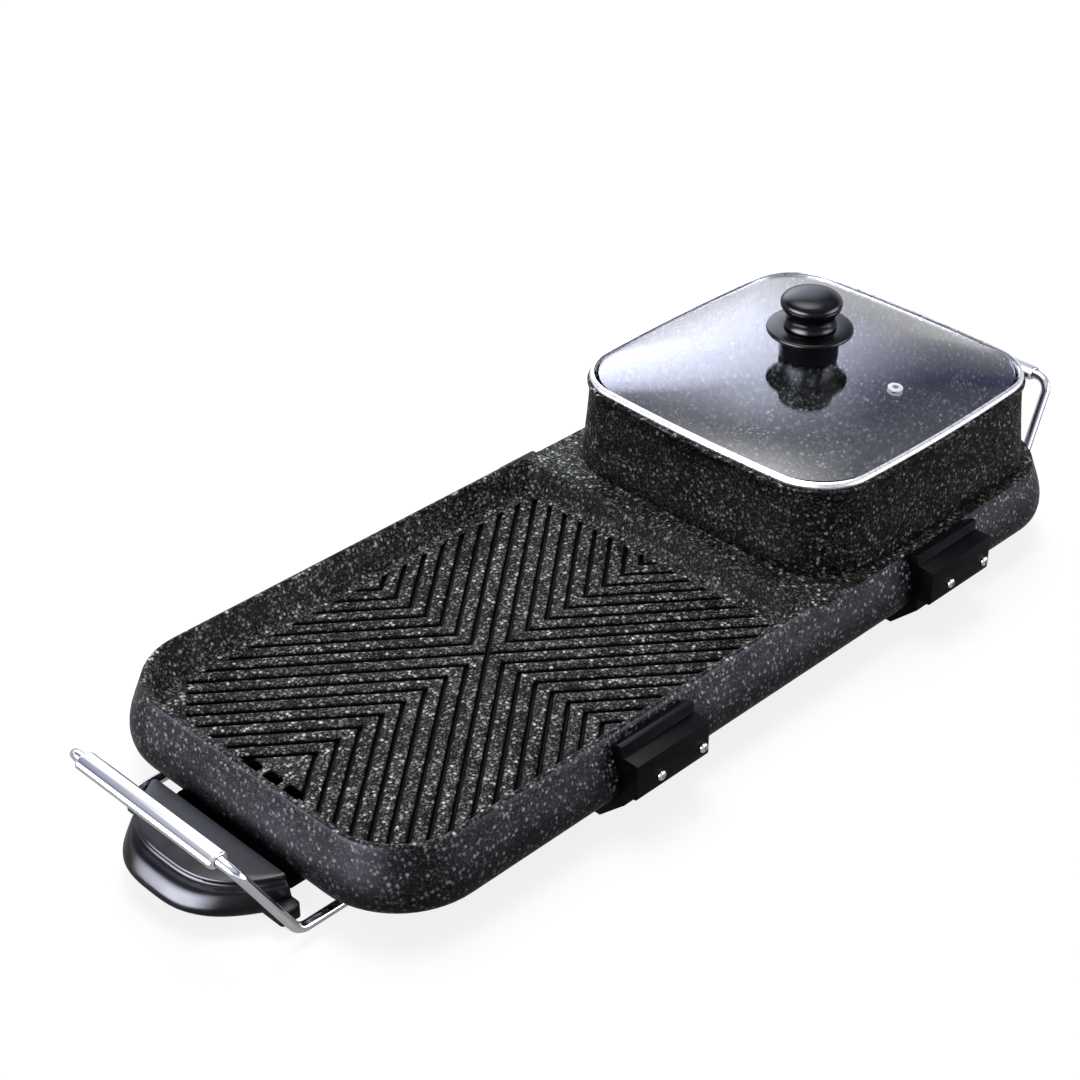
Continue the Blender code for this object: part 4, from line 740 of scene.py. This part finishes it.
chrome = worn_metal("chrome_plate", (0.86, 0.87, 0.89), 0.07, 400, 1.0, 0.03)
foot_screw = model_foot_screw()
foot_screw.data.materials.append(chrome)
for side, turned in (("near", 0), ("far", 180)):
    first_foot = model_foot(*FOOT_HEIGHTS[side])
    first_foot.data.materials.append(black_moulding)
    outwards = -1 if side == "near" else 1
    for end, x in FOOT_PLACES.items():
        foot = copy_of(first_foot, "foot_%s_%s_moulding" % (side, end))
        set_down(foot, (x, 0, 0), (0, 0, turned))
        for letter in ("a", "b"):
            node = "foot_%s_%s_screw_%s" % (side, end, letter)
            low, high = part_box(node)
            middle_x, height = (low[0] + high[0]) / 2, (low[2] + high[2]) / 2
            hole = add_round("screw_hole", 0.0018, 0.1200, 0.1500, sides=16)
            set_down(hole, (middle_x, 0, height), (outwards * -90, 0, 0))
            hole_in_pan = copy_of(hole, "pan_hole")
            cut_away(foot, hole)
            cut_away(pan, hole_in_pan)
            screw = copy_of(foot_screw, node + "_domed")
            seat = outwards * (FOOT["face"] + FOOT["gap"])
            set_down(screw, (middle_x, seat, height), (outwards * -90, 0, 0))
            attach(screw, "pan")
            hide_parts(node)
        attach(foot, "pan")
        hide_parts("foot_%s_%s" % (side, end))
    bpy.data.objects.remove(first_foot)
bpy.data.objects.remove(foot_screw)


# The carrying handles: one bent chrome rod at each end, its legs strapped under the cover, with a flat
# oval chrome sleeve pushed over the bar before the last bends.
HANDLE = {"rod": 0.0030, "start": 0.2150, "knee": 0.3120, "bar": 0.3440, "legs": 0.0735, "grip": 0.0680}
HANDLE_HEIGHT = {"legs": 0.0080, "bar": 0.0630}
HANDLE_BEND = {"knee": 0.0056, "bar": 0.0088}
SLEEVE = {"half_length": 0.0560, "half_width": 0.0065, "half_thickness": 0.00425, "gap": 0.0003}
# Radius and way in from the sleeve's end
SLEEVE_END = ((0.0052, 0), (0.0060, 0.0003), (0.0064, 0.0010), (SLEEVE["half_width"], 0.0020))


def bend_at(test, reach):
    pick_points(test)
    bends = {"offset": reach, "offset_type": "OFFSET", "segments": 10, "affect": "VERTICES"}
    bpy.ops.mesh.bevel(**bends, clamp_overlap=False)


def bend_rod(name, end):
    """A rod drawn point by point along its middle line, bent at its corners and given its thickness."""
    low, high = HANDLE_HEIGHT["legs"], HANDLE_HEIGHT["bar"]
    corners = [
        (end * HANDLE["start"], -HANDLE["legs"], low),
        (end * HANDLE["knee"], -HANDLE["legs"], low),
        (end * HANDLE["bar"], -HANDLE["grip"], high),
        (end * HANDLE["bar"], HANDLE["grip"], high),
        (end * HANDLE["knee"], HANDLE["legs"], low),
        (end * HANDLE["start"], HANDLE["legs"], low),
    ]
    rod = add_block(name, (-0.001, -0.001, -0.001), (0.001, 0.001, 0.001))
    pick_points(lambda place: True)
    bpy.ops.mesh.merge(type="CENTER")
    move_picked(*corners[0])
    for here, there in zip(corners, corners[1:]):
        extrude_picked(*(Vector(there) - Vector(here)))
    bend_at(lambda place: place.z < 0.02 and abs(abs(place.x) - HANDLE["knee"]) < 1e-3, HANDLE_BEND["knee"])
    bend_at(lambda place: place.z > 0.05, HANDLE_BEND["bar"])
    take_only(rod)
    bpy.ops.object.convert(target="CURVE")
    rod = bpy.context.object
    rod.data.bevel_depth = HANDLE["rod"]
    rod.data.bevel_resolution = 6
    rod.data.use_fill_caps = True
    bpy.ops.object.convert(target="MESH")
    rod = bpy.context.object
    rod.name = name
    rod.data.name = name
    bpy.ops.object.mode_set(mode="EDIT")
    bpy.ops.mesh.select_all(action="SELECT")
    bpy.ops.mesh.remove_doubles(threshold=1e-6)
    bpy.ops.mesh.normals_make_consistent(inside=False)
    in_object_mode()
    return rod


def model_sleeve():
    """The flat oval sleeve, upright about the origin, with eased ends and a bore for the rod."""
    half = SLEEVE["half_length"]
    profile = [(radius, way - half) for radius, way in SLEEVE_END]
    profile += [(radius, half - way) for radius, way in reversed(SLEEVE_END)]
    sleeve = turn_up("sleeve", profile)
    bpy.ops.mesh.select_all(action="SELECT")
    resize_picked(1, SLEEVE["half_thickness"] / SLEEVE["half_width"], (0, 0, 0))
    cut_away(sleeve, add_round("sleeve_bore", HANDLE["rod"] + SLEEVE["gap"], -0.06, 0.06, sides=32))
    smooth_off(sleeve, 40)
    return sleeve


for name, end in (("grill", -1), ("pot", 1)):
    rod = bend_rod("handle_%s_rod" % name, end)
    smooth_off(rod, 60)
    sleeve = model_sleeve()
    sleeve.name = "handle_%s_sleeve" % name
    set_down(sleeve, (end * HANDLE["bar"], 0, HANDLE_HEIGHT["bar"]), (90, 0, 0))
    for piece, node in ((rod, "handle_%s_end" % name), (sleeve, "handle_sleeve_%s_end" % name)):
        piece.data.materials.append(chrome)
        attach(piece, "pan")
        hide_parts(node)
    dress(zinc_steel, "handle_clamp_%s_near" % name, "handle_clamp_%s_far" % name)


# The drip tray and its runners: the sheet tray hangs by its flange in two folded strips. Its moulded nose
# is the grip that pulls it out between the handle's legs, with a crease under the brow and a fascia
# across its back.
dress(zinc_steel, "tray_runner_near", "tray_runner_far", "tray_grip_screw_near", "tray_grip_screw_far")
dress(black_moulding, "drip_tray")
GRIP_BACK = -0.3033
# How far the nose's sides run straight before its front begins to round
GRIP_SIDE = 0.0020
# The fascia is the grip's real back plate, but it is made nearly as wide as the gap between the handle's
# legs so that its dark face also fills the shade under the pan's end: partly a dark plate put where there
# is only shade
FASCIA = {"depth": 0.0130, "half": 0.0660, "low": 0.0073, "high": 0.0160}
# Reach from the back, width, height
NOSE_UP = (
    (0.0310, 0.1080, 0.0070),
    (0.0360, 0.1110, 0.0073),
    (0.0410, 0.1142, 0.0082),
    (0.0446, 0.1165, 0.0096),
    (0.0464, 0.1176, 0.0112),
    (0.0470, 0.1180, 0.0128),
    (0.0468, 0.1179, 0.0142),
    (0.0459, 0.1172, 0.0160),
    (0.0446, 0.1162, 0.0180),
    (0.0432, 0.1152, 0.0200),
    (0.0419, 0.1143, 0.0216),
    (0.0404, 0.1133, 0.0228),
    (0.0388, 0.1123, 0.0236),
    (0.0372, 0.1113, 0.0242),
    (0.0360, 0.1105, 0.0248),
    (0.0353, 0.1100, 0.0255),
    (0.0350, 0.1098, 0.0262),
    (0.0351, 0.1099, 0.0267),
    (0.0350, 0.1098, 0.0273),
    (0.0345, 0.1094, 0.0279),
    (0.0334, 0.1084, 0.0282),
    (0.0200, 0.1060, 0.0285),
)


def set_nose_ring(old_width, reach, width):
    """Puts the picked ring on the grip's D-shaped outline."""
    for point in open_mesh().verts:
        if point.select:
            across = max(min(point.co.y / (old_width / 2), 1), -1)
            point.co.y = across * width / 2
            if point.co.x < GRIP_BACK - GRIP_SIDE / 2:
                point.co.x = GRIP_BACK - GRIP_SIDE - (reach - GRIP_SIDE) * (1 - abs(across) ** 3)
    bmesh.update_edit_mesh(bpy.context.edit_object.data)


(reach, width, low), (next_reach, next_width, height) = NOSE_UP[:2]
nose = add_round("tray_nose", width / 2, low, height, (GRIP_BACK, 0), 128)
pick_points(lambda place: place.x > GRIP_BACK - 1e-6)
resize_picked(0, 1, (GRIP_BACK, 0, 0))
pick_points(lambda place: abs(abs(place.y) - width / 2) < 1e-6)
move_picked(x=-GRIP_SIDE)
pick_bottom()
set_nose_ring(width, reach, width)
pick_top()
set_nose_ring(width, next_reach, next_width)
for (reach, width, height), (next_reach, next_width, next_height) in zip(NOSE_UP[1:], NOSE_UP[2:]):
    extrude_picked(z=next_height - height)
    set_nose_ring(width, next_reach, next_width)
front = (GRIP_BACK - FASCIA["depth"], -FASCIA["half"], FASCIA["low"])
fascia = add_block("tray_fascia", front, (GRIP_BACK, FASCIA["half"], FASCIA["high"]))
round_upright_edges(0.002, 6)
pick_edges(lambda middle, span: middle.z > FASCIA["high"] - 1e-4 and middle.x < GRIP_BACK - 1e-4)
bpy.ops.mesh.bevel(offset=0.0008, segments=3, affect="EDGES")
cut_away(nose, fascia, operation="UNION")
for y in (-0.030, 0.030):
    hole = add_round("grip_screw_hole", 0.0019, 0, 0.0190, sides=16)
    set_down(hole, (GRIP_BACK + 0.0005, y, 0.0100), (0, -90, 0))
    cut_away(nose, hole)
smooth_off(nose, 30)
nose.name = "tray_grip_moulding"
grip_moulding = moulded("grip_moulding", (0.0030, 0.0034, 0.0060), 0.22, 1.36, 0.3)
nose.data.materials.append(grip_moulding)
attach(nose, "tray")
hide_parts("tray_grip")


# The hot pot: a square aluminium casting that lifts out, with a plug for the well, a skirt that stands
# on the land and a wall that draws in to the lid. It has the pan's coating inside and out.
POT_SKIRT_HALF = 0.11145
POT_TOP_HALF = (0.1063, 0.1027)
# Of the wall's foot and top: height, corner, how far a long side bows out
POT_RISE = (0.0589, 0.1045)
POT_CORNERS = (0.0450, 0.0319)
POT_BOWS = (0.00105, 0.0042)
POT_WALL = {"thickness": 0.0030, "flare": 1.35, "rings": 8}
# The lip: out from the wall's top, corner, height
POT_LIP = (
    (0.0006, 0.0325, 0.1053),
    (0.0013, 0.0332, 0.1061),
    (0.0015, 0.0334, 0.1068),
    (0.0015, 0.0334, 0.1076),
    (0.0011, 0.0330, 0.1080),
    (-0.0026, 0.0300, 0.1080),
    (-0.0030, 0.0296, 0.1076),
)
# Inside, down to the floor, and outside, down to the plug: half size, corner, height
POT_INSIDE = (
    (0.1085, 0.0430, 0.0589),
    (0.1030, 0.0325, 0.0532),
    (0.1016, 0.0311, 0.0505),
    (0.1014, 0.0309, 0.0424),
    (0.1006, 0.0301, 0.0405),
    (0.0989, 0.0284, 0.0393),
    (0.0965, 0.0260, 0.0388),
)
POT_OUTSIDE = (
    (0.11145, 0.0450, 0.0545),
    (0.1110, 0.0446, 0.0534),
    (0.1099, 0.0435, 0.0529),
    (0.1045, 0.0340, 0.0529),
    (0.1045, 0.0340, 0.0408),
    (0.1037, 0.0332, 0.0380),
    (0.1020, 0.0315, 0.0364),
    (0.0995, 0.0290, 0.0358),
)


def pot_step(half_x, half_y, corner, height):
    return outline(half_x, half_y, corner, POT_X), height


def wall_between(share, way_in=0):
    """The pot's wall, from the skirt at 0 to the lid at 1: nearly straight, with a flare at its foot."""
    eased = 1 - (1 - share) ** POT_WALL["flare"]
    half_x, half_y = (POT_SKIRT_HALF + (top - POT_SKIRT_HALF) * eased - way_in for top in POT_TOP_HALF)
    low, high = POT_RISE
    low_corner, high_corner = POT_CORNERS
    corner = low_corner + (high_corner - low_corner) * eased - way_in / 2
    return pot_step(half_x, half_y, corner, low + (high - low) * share)


def cut_long_sides():
    """Cuts each long straight side into strips, so that it can bow."""
    pick_edges(lambda middle, span: abs(span.z) < 1e-5 and span.length > 0.03)
    bpy.ops.mesh.subdivide(number_cuts=10)


def bow_sides(piece, shape_at):
    """Bows straight sides out: shape_at gives the bow and the two half sizes at a height."""
    in_object_mode()
    for point in piece.data.vertices:
        bow, half_x, half_y = shape_at(point.co.z)
        x, y = point.co.x - POT_X, point.co.y
        point.co.x = POT_X + x * (1 + bow / half_x * (1 - min(abs(y) / half_y, 1) ** 2))
        point.co.y = y * (1 + bow / half_y * (1 - min(abs(x) / half_x, 1) ** 2))
    piece.data.update()


def pot_bow(height):
    """The pot's bow and half sizes. The plug under the skirt doesn't bow."""
    bow = float(numpy.interp(height, (0.0525, 0.0530, *POT_RISE), (0, POT_BOWS[0], *POT_BOWS)))
    half = float(numpy.interp(height, POT_RISE, (0.1115, 0.1045)))
    return bow, half, half


top_x, top_y = POT_TOP_HALF
wall_shares = [number / POT_WALL["rings"] for number in range(POT_WALL["rings"] + 1)]
pot_up = [wall_between(share) for share in wall_shares]
pot_up += [pot_step(top_x + out, top_y + out, corner, height) for out, corner, height in POT_LIP]
pot_up += [wall_between(share, POT_WALL["thickness"]) for share in reversed(wall_shares[1:-1])]
pot_up += [pot_step(half, half, corner, height) for half, corner, height in POT_INSIDE]
pot_down = [pot_step(half, half, corner, height) for half, corner, height in POT_OUTSIDE]
pot = add_rounded_block("hot_pot_cast", pot_up[0][0], pot_down[0][1], pot_up[0][1])
cut_long_sides()
pick_bottom()
draw_through(pot_down)
pick_top()
draw_through(pot_up)
bow_sides(pot, pot_bow)
smooth_off(pot, 40)
pot.data.materials.append(inside_coating)
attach(pot, "pot")
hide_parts("hot_pot")


# The lid: a polished steel band folded into a channel round toughened glass, which domes up to the knob.
# A silicone eyelet lines the steam vent.
LID = {"half_x": 0.1069, "half_y": 0.1033, "corner": 0.034, "bow": 0.0042, "low": 0.1083, "high": 0.1131}
# Way in from the band's outer face and height, from its middle up to the lip
BAND_UP = (
    (0, 0.0000),
    (0.0001, 0.0006),
    (0.0004, 0.0012),
    (0.0009, 0.0017),
    (0.0015, 0.0021),
    (0.0021, 0.0023),
    (0.0027, 0.0024),
)
GLASS = {"thick": 0.0028, "way_in": 0.0010, "flat": 0.0279, "top": 0.1121, "dome": 0.0120, "power": 2.4}
# Share of the way in that the glass's rings cover, and their number
DOME_COVERED = 0.88
DOME_RINGS = 22
KNOB_SCREW_HOLE = 0.0023
VENT = {"hole": 0.0036, "around": 0.012}
lid_middle = (LID["low"] + LID["high"]) / 2


def band_steps(up):
    """The band's rings from its middle up to its upper lip, or down to its lower one with up at -1."""
    steps = []
    for way_in, height in BAND_UP:
        shape = outline(LID["half_x"] - way_in, LID["half_y"] - way_in, LID["corner"] - way_in, POT_X)
        steps.append((shape, lid_middle + up * height))
    return steps


band = add_rounded_block("lid_band", band_steps(1)[0][0], lid_middle, lid_middle + 1e-5)
cut_long_sides()
pick_top()
draw_through(band_steps(1))
bpy.ops.mesh.delete(type="FACE")
pick_bottom()
draw_through(band_steps(-1))
bpy.ops.mesh.delete(type="FACE")
bow_sides(band, lambda height: (LID["bow"], LID["half_x"], LID["half_y"]))
apply_modifier(band, "SOLIDIFY", thickness=0.0007, offset=-1, use_even_offset=True)
smooth_off(band, 40)
polished_steel = worn_metal("polished_steel", (0.94, 0.94, 0.95), 0.30, 300, 0.75, 0.02)
band.data.materials.append(polished_steel)
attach(band, "lid")
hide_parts("lid_rim")


def dome_step(share):
    """The glass's ring at a share of the way from its edge to its middle."""
    half_x = (LID["half_x"] - GLASS["way_in"]) * (1 - share)
    half_y = (LID["half_y"] - GLASS["way_in"]) * (1 - share)
    edge = LID["corner"] - GLASS["way_in"]
    corner = min(edge + (half_y - edge) * share, half_y * 0.99)
    inside = max(share - GLASS["flat"], 0) / (1 - GLASS["flat"])
    height = GLASS["top"] + GLASS["dome"] * (1 - (1 - inside) ** GLASS["power"])
    return outline(half_x, half_y, corner, POT_X), height


def glass_bow(height):
    """The glass's bow and half sizes, which shrink towards the top of the dome."""
    left = max(1 - (height - GLASS["top"]) / GLASS["dome"], 0)
    size = max(left ** (1 / GLASS["power"]), 0.02)
    half_x, half_y = (half - GLASS["way_in"] for half in (LID["half_x"], LID["half_y"]))
    return LID["bow"] * size, half_x * size, half_y * size


flat, spread = GLASS["flat"], DOME_COVERED - GLASS["flat"]
dome_shares = [0] + [flat + spread * number / DOME_RINGS for number in range(DOME_RINGS + 1)]
glass = add_rounded_block("lid_dome", dome_step(0)[0], 0.1120, GLASS["top"])
cut_long_sides()
pick_faces(lambda middle, way: way.z < 0.9)
bpy.ops.mesh.delete(type="FACE")
pick_top()
draw_through([dome_step(share) for share in dome_shares])
pick_bottom()
bpy.ops.mesh.delete(type="FACE")
bow_sides(glass, glass_bow)
apply_modifier(glass, "SOLIDIFY", thickness=GLASS["thick"], offset=-1, use_even_offset=True)
vent_low, vent_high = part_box("vent_grommet")
vent = (Vector(vent_low) + Vector(vent_high)) / 2
# The vent stands square to the glass around it
slope = Vector((0, 0, 0))
for face in glass.data.polygons:
    if face.normal.z > 0.5 and (face.center - vent).length < VENT["around"]:
        slope += face.normal
lean = math.degrees(math.atan2(-slope.y, slope.z))
hole = add_round("vent_hole", VENT["hole"], -0.010, 0.010, sides=32)
set_down(hole, vent, (lean, 0, 0))
cut_away(glass, hole, add_round("knob_hole", KNOB_SCREW_HOLE, 0.1100, 0.1300, (POT_X, 0), 32))
smooth_off(glass, 30)


def clear_glass(name):
    """Toughened glass with the faintest haze from wiping."""
    material, shader = new_material(name)
    shader.inputs["Base Color"].default_value = (0.90, 0.92, 0.98, 1)
    shader.inputs["Transmission Weight"].default_value = 1.0
    shader.inputs["IOR"].default_value = 1.75
    haze = noise_at(material, place_on(material), 25, 2)["Fac"]
    join_to(material, spread_to(material, haze, 0.01, 0.05, 0.3, 0.7), shader.inputs["Roughness"])
    return material


glass.data.materials.append(clear_glass("lid_toughened_glass"))
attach(glass, "lid")
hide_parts("lid_glass")

# Radius, height about the glass's middle
EYELET = (
    (0.0036, -0.0030),
    (0.0044, -0.0029),
    (0.0048, -0.0025),
    (0.0048, -0.0020),
    (0.0034, -0.0020),
    (0.0034, 0.0020),
    (0.0048, 0.0020),
    (0.0048, 0.0025),
    (0.0044, 0.0029),
    (0.0036, 0.0030),
)
eyelet = turn_up("vent_eyelet", EYELET, 32)
cut_away(eyelet, add_round("vent_bore", 0.0020, -0.005, 0.005, sides=24))
smooth_off(eyelet, 50)
set_down(eyelet, vent, (lean, 0, 0))
silicone = moulded("grey_silicone", (0.80, 0.80, 0.82), 0.35, mottle=0.05)
eyelet.data.materials.append(silicone)
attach(eyelet, "lid")
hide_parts("vent_grommet")


# The knob: a moulded drum with a guard disc, and an upper grip on it. One screw from under the glass,
# with a washer, draws both down on the lid.

# Radius, height
KNOB_BASE = (
    (0.0176, 0.1244),
    (0.0182, 0.1246),
    (0.0185, 0.1251),
    (0.0185, 0.1390),
    (0.0186, 0.1398),
    (0.0190, 0.1405),
    (0.0198, 0.1409),
    (0.0258, 0.1409),
    (0.0265, 0.1411),
    (0.0269, 0.1416),
    (0.0270, 0.1423),
    (0.0269, 0.1430),
    (0.0265, 0.1436),
    (0.0258, 0.1439),
    (0.0160, 0.1439),
    (0.0030, 0.1439),
)
KNOB_GRIP = (
    (0.0155, 0.1442),
    (0.0160, 0.1443),
    (0.0163, 0.1447),
    (0.0163, 0.1455),
    (0.0160, 0.1463),
    (0.0156, 0.1475),
    (0.0153, 0.1492),
    (0.0152, 0.1510),
    (0.0154, 0.1527),
    (0.0160, 0.1542),
    (0.0170, 0.1555),
    (0.0180, 0.1566),
    (0.0188, 0.1577),
    (0.0192, 0.1590),
    (0.0192, 0.1603),
    (0.0189, 0.1616),
    (0.0181, 0.1629),
    (0.0167, 0.1641),
    (0.0145, 0.1651),
    (0.0116, 0.1659),
    (0.0080, 0.1664),
    (0.0040, 0.1667),
    (0.0008, 0.1667),
)
knob_gloss = moulded("knob_gloss", (0.0035, 0.0038, 0.0052), 0.19, 1.32, 0.2)
for name, node, profile, bore_top in (
    ("knob_drum", "knob_base", KNOB_BASE, 0.1460),
    ("knob_top", "knob_grip", KNOB_GRIP, 0.1525),
):
    part = turn_up(name, profile, 96, (POT_X, 0))
    cut_away(part, add_round("knob_bore", KNOB_SCREW_HOLE, 0.1200, bore_top, (POT_X, 0), 24))
    smooth_off(part, 40)
    part.data.materials.append(knob_gloss)
    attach(part, "lid")
    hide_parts(node)
dress(zinc_steel, "knob_washer", "knob_screw")


# The table, the soft light and the camera: a pale top that keeps the pan's shadow, two panels that light
# it, two cards that only its shine shows, and a camera at the near left corner that looks 33 degrees down.

# How strongly the table glows where it is seen, and the share of that which a shiny surface doesn't show
TABLE_GLOW = 0.85
LOST_IN_SHINE = 0.75
in_object_mode()
bpy.ops.object.select_all(action="DESELECT")
bpy.ops.mesh.primitive_plane_add(size=24, location=(0, 0, -0.0005))
table = bpy.context.object
table.name = "table"
settle(table)
pale_top, pale_shader = new_material("pale_table")
pale_shader.inputs["Base Color"].default_value = (0.20, 0.20, 0.20, 1)
pale_shader.inputs["Roughness"].default_value = 0.9
pale_shader.inputs["Specular IOR Level"].default_value = 0
pale_shader.inputs["Emission Color"].default_value = (1, 1, 1, 1)


def seen_or_mirrored(material):
    """1 for rays from the camera, from glossy surfaces and through glass."""
    ray = wire(material, "ShaderNodeLightPath").outputs
    through = reckon(material, "MAXIMUM", ray["Is Glossy Ray"], ray["Is Transmission Ray"])
    return reckon(material, "MAXIMUM", ray["Is Camera Ray"], through)


glossy = wire(pale_top, "ShaderNodeLightPath").outputs["Is Glossy Ray"]
lost = reckon(pale_top, "MULTIPLY", glossy, LOST_IN_SHINE)
glow = reckon(pale_top, "SUBTRACT", seen_or_mirrored(pale_top), lost)
glow = reckon(pale_top, "MULTIPLY", glow, TABLE_GLOW)
join_to(pale_top, glow, pale_shader.inputs["Emission Strength"])
table.data.materials.append(pale_top)


def add_softbox(name, place, target, size, glow, colour=(1, 1, 1), lights=True):
    """A panel with its glow as a mirror shows it, fading to its borders. One that doesn't light is a card,
    which only shows in glossy surfaces."""
    bpy.ops.object.light_add(type="AREA", location=place)
    lamp = bpy.context.object
    lamp.name = name
    lamp.visible_camera = False
    lamp.visible_diffuse = lights
    lamp.data.shape = "RECTANGLE"
    lamp.data.size, lamp.data.size_y = size
    lamp.data.energy = glow * math.pi * size[0] * size[1]
    lamp.data.color = colour
    lamp.data.use_nodes = True
    spot = wire(lamp.data, "ShaderNodeNewGeometry").outputs["Parametric"]
    spot = wire(lamp.data, "ShaderNodeSeparateXYZ", {"Vector": spot}).outputs
    fade = None
    for across in (spot["X"], spot["Y"]):
        rest = reckon(lamp.data, "SUBTRACT", 1, across)
        bell = reckon(lamp.data, "MULTIPLY", reckon(lamp.data, "MULTIPLY", across, rest), 4)
        soft = reckon(lamp.data, "POWER", bell, 2)
        fade = soft if fade is None else reckon(lamp.data, "MULTIPLY", fade, soft)
    join_to(lamp.data, fade, lamp.data.node_tree.nodes["Emission"].inputs["Strength"])
    way = Vector(place) - Vector(target)
    lamp.rotation_euler = way.to_track_quat("Z", "Y").to_euler()


add_softbox("overhead_softbox", (0.3, 0.5, 2.1), (0, 0, 0), (2.2, 2.2), 8.5)
add_softbox("left_card", (-2.11, 0.35, 0.45), (-0.25, 0, 0.05), (4.2, 2.2), 34.0, (0.84, 0.85, 1.0), False)
add_softbox("right_card", (1.12, -1.62, 0.35), (0, -0.1, 0.05), (2.6, 1.9), 13.0, (0.85, 0.84, 1.0), False)
add_softbox("window", (2.42, 3.89, 2.31), (0.17, 0, 0.12), (6.2, 4.6), 5.0, (0.82, 0.85, 1.0))

# The room as it is seen and mirrored: white at the horizon, dusky above it and grey overhead. The light
# that it gives is even, at ROOM_LIGHT
DUSKY = (0.17, 0.19, 0.32)
OVERHEAD = (0.62, 0.62, 0.66)
ROOM_LIGHT = (0.24, 0.24, 0.24)
world = bpy.data.worlds.new("pale_room")
bpy.context.scene.world = world
world.use_nodes = True
sky = world.node_tree.nodes["Background"]
way_out = wire(world, "ShaderNodeTexCoord").outputs["Generated"]
up = wire(world, "ShaderNodeSeparateXYZ", {"Vector": way_out}).outputs["Z"]
backdrop = blend_colours(world, spread_to(world, up, 0, 1, 0.15, 0.50), (1, 1, 1), DUSKY)
backdrop = blend_colours(world, spread_to(world, up, 0, 1, 0.58, 0.80), backdrop, OVERHEAD)
backdrop = blend_colours(world, seen_or_mirrored(world), ROOM_LIGHT, backdrop)
join_to(world, backdrop, sky.inputs["Color"])

bpy.ops.object.camera_add(location=(-0.848, -0.782, 0.8265))
camera = bpy.context.object
camera.name = "camera"
camera.rotation_euler = Vector((-0.5904, -0.5896, 0.5511)).to_track_quat("Z", "Y").to_euler()
camera.data.lens = 77.83
camera.data.sensor_width = 36
camera.data.clip_end = 50
bpy.context.scene.camera = camera
bpy.context.scene.view_settings.view_transform = "Standard"
